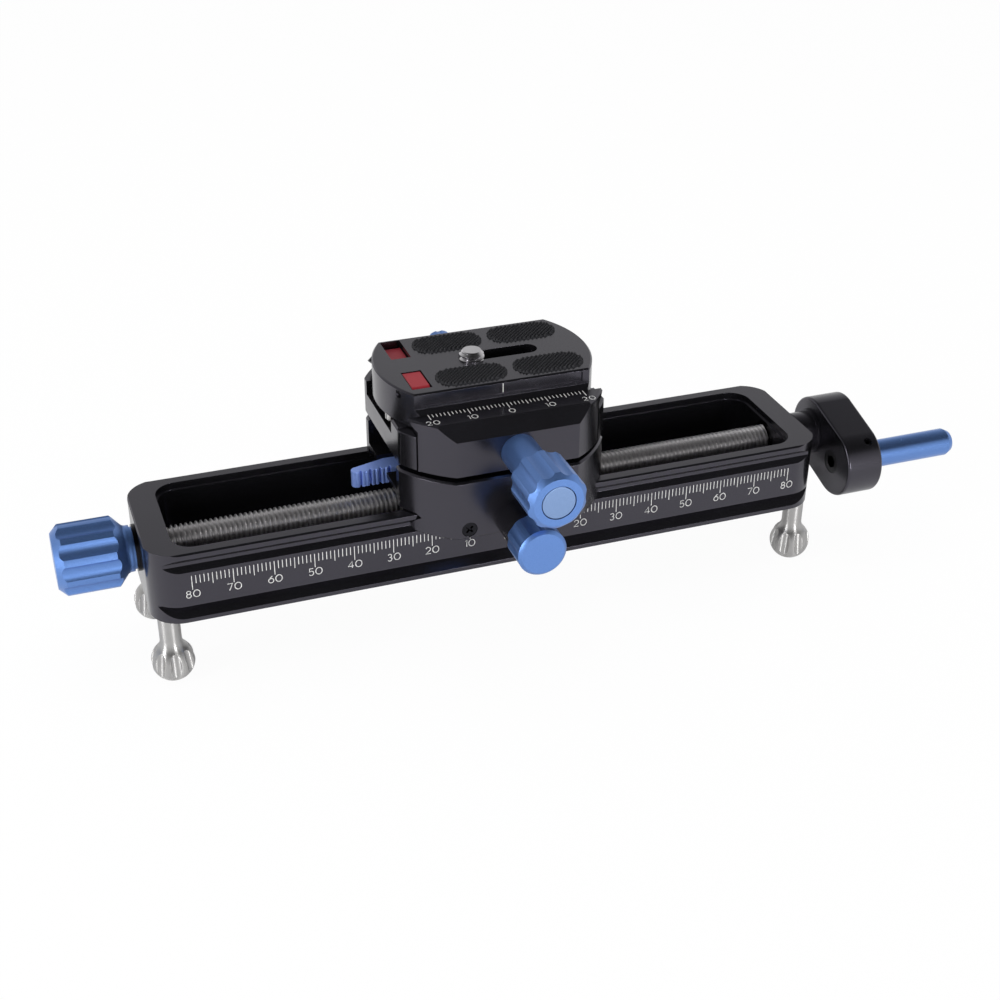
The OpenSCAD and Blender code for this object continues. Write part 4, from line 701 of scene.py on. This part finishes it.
def makePads(look):
    half, reach = look["width"] / 2, (look["length"] - look["width"]) / 2
    outline = arcPoints(reach, 0, half, -90, 90, 24) + arcPoints(-reach, 0, half, 90, 270, 24)
    base = flatShape("pad_base", outline + [outline[0]], look["seat"] + look["sunk"])
    roundEdges(base, look["edge"], 1)
    bpy.ops.object.select_all(action='DESELECT')
    bpy.ops.mesh.primitive_cone_add(vertices=4, radius1=look["studBase"] * mm, radius2=look["studTop"] * mm,
                                    depth=look["rise"] * mm,
                                    location=(0, 0, (look["seat"] + look["rise"] / 2) * mm))
    stud = bpy.context.object
    bpy.ops.object.transform_apply(location=True, rotation=True, scale=True)
    studs = [base]
    rows = int(look["width"] / look["pitch"]) + 2
    columns = int(look["length"] / look["pitch"]) + 2
    for row in range(-rows, rows + 1):
        for column in range(-columns, columns + 1):
            x = (column + (row % 2) / 2) * look["pitch"]
            y = row * look["pitch"] / 2
            out = math.hypot(max(abs(x) - reach, 0), y)
            if out < half - look["margin"]:
                copy = copyOf(stud, "pad_stud")
                copy.location = (x * mm, y * mm, 0)
                studs.append(copy)
    first = joinPieces("studded_pad", studs)
    bpy.data.objects.remove(stud)
    for corner in corners:
        name = "plate_pad_" + corner
        low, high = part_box(name)
        pad = copyOf(first, name)
        pad.location = ((low.x + high.x) / 2, (low.y + high.y) / 2, low.z)
        settle(pad)
        fitOut(pad, name, rubber, 30)
    bpy.data.objects.remove(first)


makePads(padLook)

clampKnobLook = {
    "neck": 4.6, "radius": 7.4, "length": 12.2, "chamfer": 1.3, "face": 6.1, "steps": 144,
    "flutes": 10, "flute": 3.2, "depth": 0.55, "recess": 4.3, "recessDepth": 1.4, "edge": 0.12,
}
lockKnobLook = {
    "radius": 6.2, "face": 5.4, "chamfer": 0.8, "backChamfer": 0.4, "rim": 0.9, "steps": 144,
    "flutes": 10, "flute": 2.6, "depth": 0.5, "edge": 0.12,
}
capLook = {"radius": 4.1, "edge": 0.15, "steps": 96}


def frontKnob(node, profile, cutters, look, material):
    low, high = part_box(node)
    item = turnedShape(node + "_body", profile, look["steps"])
    for tools in cutters:
        cutAway(item, tools)
    roundEdges(item, look["edge"], 2)
    middle = ((low.x + high.x) / 2 / mm, high.y / mm, (low.z + high.z) / 2 / mm)
    putInPlace(item, (1, 0, 0), (0, 0, 1), (0, -1, 0), middle)
    fitOut(item, node, material)


def lengthOf(node):
    low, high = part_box(node)
    return (high.y - low.y) / mm


def makeClampKnob(look):
    total, radius = lengthOf("clamp_knob"), look["radius"]
    start = total - look["length"]
    profile = [(0, 0), (look["neck"], 0), (look["neck"], start), (radius, start),
               (radius, total - look["chamfer"]), (look["face"], total), (0, total)]
    turns = [360 / look["flutes"] * i for i in range(look["flutes"])]
    recess = roller(look["recess"], total - look["recessDepth"], total + 1, 0)
    cutters = (grooves(look, start - 1, total + 1, turns), [recess])
    frontKnob("clamp_knob", profile, cutters, look, blue)


def makeLockKnob(look):
    total, radius, back = lengthOf("lock_knob"), look["radius"], look["backChamfer"]
    profile = [(0, 0), (radius - back, 0), (radius, back), (radius, total - look["chamfer"]),
               (look["face"], total), (0, total)]
    turns = [360 / look["flutes"] * i for i in range(look["flutes"])]
    frontKnob("lock_knob", profile, (grooves(look, -1, total - look["rim"], turns),), look, blue)


def makeKnobCap(look):
    total, radius = lengthOf("clamp_knob_cap"), look["radius"]
    frontKnob("clamp_knob_cap", [(0, 0), (radius, 0), (radius, total), (0, total)], (), look, paleBlue)


makeClampKnob(clampKnobLook)
makeLockKnob(lockKnobLook)
makeKnobCap(capLook)
print("feet, knobs, crank, lever and pads made")


# Threads

def threadTube(name, thread):
    # one turn's flank profile, run round the axis by the screw modifier and cut square at both ends
    bpy.ops.object.select_all(action='DESELECT')
    bpy.ops.mesh.primitive_plane_add(size=thread["pitch"] * mm)
    item = bpy.context.object
    item.name = name
    bpy.ops.object.mode_set(mode='EDIT')
    bpy.ops.mesh.select_all(action='SELECT')
    bpy.ops.mesh.merge(type='CENTER')
    pitch, crest, root = thread["pitch"], thread["crest"], thread["root"]
    turns = math.ceil(thread["length"] / pitch) + 3
    flank = (pitch - thread["crestFlat"] - thread["rootFlat"]) / 2
    start = -turns * pitch / 2
    bpy.ops.transform.translate(value=(crest * mm, 0, start * mm))
    for reach, rise in ((0, thread["crestFlat"]), (root - crest, flank),
                        (0, thread["rootFlat"]), (crest - root, flank)):
        bpy.ops.mesh.extrude_region_move(TRANSFORM_OT_translate={"value": (reach * mm, 0, rise * mm)})
    bpy.ops.object.mode_set(mode='OBJECT')
    applyModifier(item, 'SCREW', axis='Z', angle=2 * math.pi, screw_offset=pitch * mm,
                  iterations=turns, steps=thread["steps"], render_steps=thread["steps"],
                  use_merge_vertices=True, merge_threshold=0.000005, use_smooth_shade=True)
    for side in (-1, 1):
        editAll(item)
        bpy.ops.mesh.bisect(plane_co=(0, 0, side * thread["length"] / 2 * mm), plane_no=(0, 0, side),
                            clear_outer=True, use_fill=True)
        bpy.ops.object.mode_set(mode='OBJECT')
    editAll(item)
    bpy.ops.mesh.remove_doubles(threshold=0.000001)
    bpy.ops.mesh.normals_make_consistent(inside=False)
    bpy.ops.object.mode_set(mode='OBJECT')
    return item


leadScrewLook = {
    "pitch": 1.25, "crest": 4.0, "root": 3.26, "crestFlat": 0.17, "rootFlat": 0.2,
    "length": 164.8, "steps": 60, "journal": 3.0, "edge": 0.25,
}


def makeLeadScrew(look):
    low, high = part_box("lead_screw")
    thread = threadTube("lead_screw_thread", look)
    shafts = []
    for x0, x1 in ((low.x / mm, -look["length"] / 2), (look["length"] / 2, high.x / mm)):
        bpy.ops.object.select_all(action='DESELECT')
        bpy.ops.mesh.primitive_cylinder_add(vertices=48, radius=look["journal"] * mm,
                                            depth=(x1 - x0) * mm, location=(0, 0, (x0 + x1) / 2 * mm))
        shaft = bpy.context.object
        editAll(shaft)
        bpy.ops.mesh.bevel(offset=look["edge"] * mm, segments=2, affect='EDGES')
        bpy.ops.object.mode_set(mode='OBJECT')
        shafts.append(shaft)
    item = joinPieces("lead_screw_threaded", [thread] + shafts)
    item.rotation_euler = (0, math.pi / 2, 0)
    item.location = (0, 0, screwAxis * mm)
    settle(item)
    smooth(item, 25)
    dress(item, threadSteel)
    standFor(item, "lead_screw")


makeLeadScrew(leadScrewLook)

cameraScrewLook = {
    "pitch": 1.27, "crest": 3.175, "root": 2.55, "crestFlat": 0.2, "rootFlat": 0.2,
    "length": 4.9, "steps": 48, "head": 6.4, "headHeight": 2.3, "edge": 0.2,
    "neck": 2.4, "neckDown": 2.0,  # the plain neck ends this far below the tip, inside the thread
    "slot": 1.4, "slotDepth": 1.1,
    # the taper at the free end, as shares of crest, root and length
    "taperFoot": 2.4, "taperTop": 0.9, "taperLen": 1.1,
}


def makeCameraScrew(look):
    low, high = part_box("camera_screw")
    top, bottom = high.z / mm, low.z / mm
    thread = threadTube("camera_screw_thread", look)
    thread.location.z = (top - look["length"] / 2) * mm
    taperLen = look["length"] * look["taperLen"]
    bpy.ops.object.select_all(action='DESELECT')
    bpy.ops.mesh.primitive_cone_add(vertices=64, radius1=look["crest"] * look["taperFoot"] * mm,
                                    radius2=look["root"] * look["taperTop"] * mm, depth=taperLen * mm,
                                    location=(0, 0, (top - taperLen / 2) * mm))
    cone = bpy.context.object
    applyModifier(thread, 'BOOLEAN', operation='INTERSECT', object=cone, solver='EXACT')
    bpy.data.objects.remove(cone)
    neckLen = top - bottom - look["neckDown"]
    bpy.ops.mesh.primitive_cylinder_add(vertices=64, radius=look["neck"] * mm, depth=neckLen * mm,
                                        location=(0, 0, (bottom + neckLen / 2) * mm))
    neck = bpy.context.object
    bpy.ops.mesh.primitive_cylinder_add(vertices=96, radius=look["head"] * mm, depth=look["headHeight"] * mm,
                                        location=(0, 0, (bottom + look["headHeight"] / 2) * mm))
    head = bpy.context.object
    editAll(head)
    bpy.ops.mesh.bevel(offset=look["edge"] * mm, segments=2, affect='EDGES')
    bpy.ops.object.mode_set(mode='OBJECT')
    slotSize = (3 * look["head"] * mm, look["slot"] * mm, 2 * look["slotDepth"] * mm)
    bpy.ops.mesh.primitive_cube_add(size=1, location=(0, 0, bottom * mm), scale=slotSize)
    cutter = bpy.context.object
    for item in (head, neck):
        applyModifier(item, 'BOOLEAN', operation='DIFFERENCE', object=cutter, solver='EXACT')
    bpy.data.objects.remove(cutter)
    item = joinPieces("camera_screw_threaded", [thread, neck, head])
    item.location.x = (low.x + high.x) / 2
    settle(item)
    smooth(item, 25)
    dress(item, steel["plated_screw_steel"])
    standFor(item, "camera_screw")


makeCameraScrew(cameraScrewLook)
print("threads cut")


# Printed scales

railScale = {
    "reach": 80, "top": 13.1, "long": 3.84, "middle": 3.0, "short": 2.2, "line": 0.17,
    "digitHeight": 2.15, "digitBase": 6.95, "widen": 1.0, "pen": 0.24, "letterGap": 0.5,
    "ink": 0.02, "face": -19.0,
}
jawScale = {
    "reach": 20, "long": 2.6, "middle": 2.0, "short": 1.45, "line": 0.16,
    "digitHeight": 2.0, "digitGap": 0.65, "widen": 0.95, "pen": 0.2, "letterGap": 0.55,
    "ink": 0.02, "inner": 17.19,  # inner edge of the front jaw's top face
}


def tickMarks(name, look):
    # slabs drawn flat: X along the scale, hanging down from Y = 0, ink standing up in Z
    marks = []
    for value in range(-look["reach"], look["reach"] + 1):
        length = look["long"] if value % 10 == 0 else look["middle"] if value % 5 == 0 else look["short"]
        bpy.ops.object.select_all(action='DESELECT')
        bpy.ops.mesh.primitive_cube_add(size=1, location=(value * mm, -length / 2 * mm, look["ink"] / 2 * mm),
                                        scale=(look["line"] * mm, length * mm, look["ink"] * mm))
        marks.append(bpy.context.object)
    return joinPieces(name, marks)


# middle lines of the figures in a box one unit high, with each figure's width
figures = {
    "0": (0.84, [[(0.42 + 0.42 * x, 0.5 + 0.5 * y) for x, y in arcPoints(0, 0, 1, 90, 450, 24)]]),
    "1": (0.22, [[(0.0, 0.84), (0.2, 1.0), (0.2, 0.0)]]),
    "2": (0.70, [arcPoints(0.34, 0.69, 0.31, 165, -38, 12) + [(0.0, 0.0), (0.70, 0.0)]]),
    "3": (0.64, [arcPoints(0.31, 0.75, 0.25, 150, -90, 12) + arcPoints(0.31, 0.26, 0.28, 85, -150, 14)]),
    "4": (0.74, [[(0.54, 0.0), (0.54, 1.0), (0.0, 0.27), (0.74, 0.27)]]),
    "5": (0.66, [[(0.60, 1.0), (0.14, 1.0), (0.08, 0.55)] + arcPoints(0.32, 0.31, 0.32, 130, -150, 16)]),
    "6": (0.68, [[(0.52, 1.0), (0.27, 0.74), (0.08, 0.48)], arcPoints(0.34, 0.32, 0.33, 90, 450, 20)]),
    "7": (0.66, [[(0.0, 1.0), (0.66, 1.0), (0.22, 0.0)]]),
    "8": (0.66, [arcPoints(0.33, 0.755, 0.245, 90, 450, 18), arcPoints(0.33, 0.27, 0.29, 90, 450, 20)]),
}


def figureRibbons(word, look):
    # the word's lines as one flat curve object, given the pen's width and made a mesh
    height = look["digitHeight"] - look["pen"]
    gap = look["letterGap"]
    span = sum(figures[letter][0] for letter in word) * height * look["widen"] + gap * (len(word) - 1)
    curve = bpy.data.curves.new("figure_lines", 'CURVE')
    curve.dimensions = '3D'
    curve.bevel_depth = look["pen"] / 2 * mm
    curve.bevel_resolution = 0
    curve.use_fill_caps = True
    left = -span / 2
    for letter in word:
        width, lines = figures[letter]
        for points in lines:
            closed = math.dist(points[0], points[-1]) < 0.001
            points = points[:-1] if closed else points
            spline = curve.splines.new('POLY')
            spline.use_cyclic_u = closed
            spline.points.add(len(points) - 1)
            for place, (x, y) in zip(spline.points, points):
                place.co = ((left + x * height * look["widen"]) * mm, (y - 0.5) * height * mm, 0, 1)
        left += width * height * look["widen"] + gap
    item = bpy.data.objects.new("figure_" + word, curve)
    bpy.context.scene.collection.objects.link(item)
    selectOnly(item)
    bpy.ops.object.convert(target='MESH')
    return bpy.context.object


def numberMarks(name, look, middle):
    marks = []
    for value in range(-look["reach"], look["reach"] + 1, 10):
        word = figureRibbons(str(abs(value)), look)
        word.scale = (1, 1, look["ink"] / look["pen"])
        word.location = (value * mm, middle * mm, look["ink"] / 2 * mm)
        bpy.ops.object.transform_apply(location=True, rotation=False, scale=True)
        marks.append(word)
    return joinPieces(name, marks)


def makeRailScale(look):
    ticks = tickMarks("rail_scale_ticks", look)
    middle = look["digitBase"] + look["digitHeight"] / 2 - look["top"]
    numbers = numberMarks("rail_scale_numbers", look, middle)
    item = joinPieces("rail_scale", [ticks, numbers])
    item.rotation_euler = (math.pi / 2, 0, 0)
    item.location = (0, look["face"] * mm, look["top"] * mm)
    settle(item)
    dress(item, ink)
    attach(item, "rail")


def makeJawScale(look):
    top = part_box("front_jaw")[1].z
    ticks = tickMarks("jaw_scale_ticks", look)
    middle = -look["long"] - look["digitGap"] - look["digitHeight"] / 2
    numbers = numberMarks("jaw_scale_numbers", look, middle)
    item = joinPieces("jaw_scale", [ticks, numbers])
    item.location = (0, -look["inner"] * mm, top)
    settle(item)
    dress(item, ink)
    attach(item, "front_jaw")


makeRailScale(railScale)
makeJawScale(jawScale)

indexLine = {"x": -0.2, "width": 0.22, "low": 47.2, "high": 49.7, "face": -15.45, "ink": 0.02,
             "edge": 0.01}


def makeIndexLine(look):
    bpy.ops.object.select_all(action='DESELECT')
    middle = (look["low"] + look["high"]) / 2
    bpy.ops.mesh.primitive_cube_add(size=1, location=(look["x"] * mm, look["face"] * mm, middle * mm),
                                    scale=(look["width"] * mm, 2 * look["ink"] * mm,
                                           (look["high"] - look["low"]) * mm))
    item = bpy.context.object
    item.name = "plate_index_line"
    editAll(item)
    bpy.ops.mesh.bevel(offset=look["edge"] * mm, segments=1, affect='EDGES')
    settle(item)
    dress(item, ink)
    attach(item, "plate")


makeIndexLine(indexLine)
print("scales printed")


# Floor, light and camera

studio = {
    "floorSize": 6000, "floorColour": "#f4f4f4", "floorGlow": 0.96, "floorShine": 0.35,
    # brightness by degrees above the horizon, behind the object and in front of it
    "behind": ((-90, 0.9), (0, 0.95), (30, 0.56), (36, 0.48), (50, 0.25), (90, 0.08)),
    "front": ((-90, 0.9), (0, 0.9), (20, 0.8), (33, 0.55), (42, 0.05), (90, 0.02)),
    "blend": 0.35,  # how far to either side of the object front and behind run into each other
}


def makeFloor(look):
    bpy.ops.object.select_all(action='DESELECT')
    bpy.ops.mesh.primitive_plane_add(size=look["floorSize"] * mm, location=(0, 0, cadBounds[0][2]))
    item = bpy.context.object
    item.name = "floor"
    material = bpy.data.materials.new("white_paper_floor")
    material.use_nodes = True
    tree = material.node_tree
    tree.nodes.clear()
    paper = addNode(tree, "ShaderNodeBsdfDiffuse", {"Color": hexColour(look["floorColour"])})
    glow = addNode(tree, "ShaderNodeEmission", {"Color": (1, 1, 1, 1), "Strength": 1.0})
    rays = addNode(tree, "ShaderNodeLightPath")
    seen = addNode(tree, "ShaderNodeMath", {"operation": 'MULTIPLY', 1: look["floorGlow"]},
                   {0: rays.outputs["Is Camera Ray"]})
    echo = addNode(tree, "ShaderNodeMath", {"operation": 'MAXIMUM'},
                   {0: rays.outputs["Is Glossy Ray"], 1: rays.outputs["Is Transmission Ray"]})
    share = addNode(tree, "ShaderNodeMath", {"operation": 'MULTIPLY_ADD', 1: look["floorShine"]},
                    {0: echo.outputs[0], 2: seen.outputs[0]})
    mix = addNode(tree, "ShaderNodeMixShader", {}, {"Fac": share.outputs[0]})
    tree.links.new(paper.outputs[0], mix.inputs[1])
    tree.links.new(glow.outputs[0], mix.inputs[2])
    addNode(tree, "ShaderNodeOutputMaterial", {}, {"Surface": mix.outputs[0]})
    item.data.materials.append(material)


def heightShades(tree, height, levels):
    shade = addNode(tree, "ShaderNodeValToRGB", {}, {"Fac": height})
    ramp = shade.color_ramp
    for number, (degrees, level) in enumerate(levels):
        place = (math.sin(math.radians(degrees)) + 1) / 2
        if number < 2:
            ramp.elements[number].position = place
        else:
            ramp.elements.new(place)
        ramp.elements[number].color = (level,) * 3 + (1,)
    return shade.outputs["Color"]


def makeWorld(look):
    world = bpy.data.worlds.new("studio")
    bpy.context.scene.world = world
    world.use_nodes = True
    tree = world.node_tree
    tree.nodes.clear()
    direction = addNode(tree, "ShaderNodeTexCoord").outputs["Generated"]
    axes = addNode(tree, "ShaderNodeSeparateXYZ", {}, {"Vector": direction})
    height = addNode(tree, "ShaderNodeMapRange", {"From Min": -1.0, "From Max": 1.0},
                     {"Value": axes.outputs["Z"]}).outputs["Result"]
    back = addNode(tree, "ShaderNodeMapRange", {"From Min": -look["blend"], "From Max": look["blend"]},
                   {"Value": axes.outputs["Y"]}).outputs["Result"]
    shade = addNode(tree, "ShaderNodeMixRGB", {},
                    {"Fac": back, "Color1": heightShades(tree, height, look["front"]),
                     "Color2": heightShades(tree, height, look["behind"])})
    seen = addNode(tree, "ShaderNodeBackground", {"Color": (1, 1, 1, 1), "Strength": 1.0})
    room = addNode(tree, "ShaderNodeBackground", {"Strength": 1.0}, {"Color": shade.outputs["Color"]})
    rays = addNode(tree, "ShaderNodeLightPath")
    mix = addNode(tree, "ShaderNodeMixShader", {}, {"Fac": rays.outputs["Is Camera Ray"]})
    tree.links.new(room.outputs[0], mix.inputs[1])
    tree.links.new(seen.outputs[0], mix.inputs[2])
    addNode(tree, "ShaderNodeOutputWorld", {}, {"Surface": mix.outputs[0]})


softboxes = {
    # name: place, aim, size across and up, watts, shows in gloss
    "overheadBox": ((-50, 100, 1100), (0, 0, 0), (1200, 1200), 9.0, False),
    "leftStrip": ((-800, -280, 300), (0, 0, 200), (160, 900), 4.6, True),
    "rightStrip": ((270, -840, 80), (0, 0, 50), (160, 360), 3.6, True),
}


def makeLamps(boxes):
    for name, (place, aim, size, power, shines) in boxes.items():
        lamp = bpy.data.lights.new(name, 'AREA')
        lamp.shape = 'RECTANGLE'
        lamp.size, lamp.size_y = size[0] * mm, size[1] * mm
        lamp.energy = power
        item = bpy.data.objects.new(name, lamp)
        bpy.context.scene.collection.objects.link(item)
        item.visible_glossy = shines
        item.location = Vector(place) * mm
        item.rotation_euler = (Vector(aim) - Vector(place)).to_track_quat('-Z', 'Y').to_euler()


cameraPlace = {
    "at": (-117.9616, -336.8797, 218.6869), "turn": (59.45742, -0.41113, -19.78837),
    "lens": 56.4875, "sensor": 36, "nearest": 10,
}


def makeCamera(look):
    camera = bpy.data.cameras.new("photoCamera")
    camera.lens = look["lens"]
    camera.sensor_width = look["sensor"]
    camera.clip_start = look["nearest"] * mm
    item = bpy.data.objects.new("photoCamera", camera)
    bpy.context.scene.collection.objects.link(item)
    item.location = Vector(look["at"]) * mm
    item.rotation_euler = [math.radians(degrees) for degrees in look["turn"]]
    bpy.context.scene.camera = item


makeFloor(studio)
makeWorld(studio)
makeLamps(softboxes)
makeCamera(cameraPlace)
bpy.context.scene.view_settings.view_transform = 'Standard'
print("studio set")
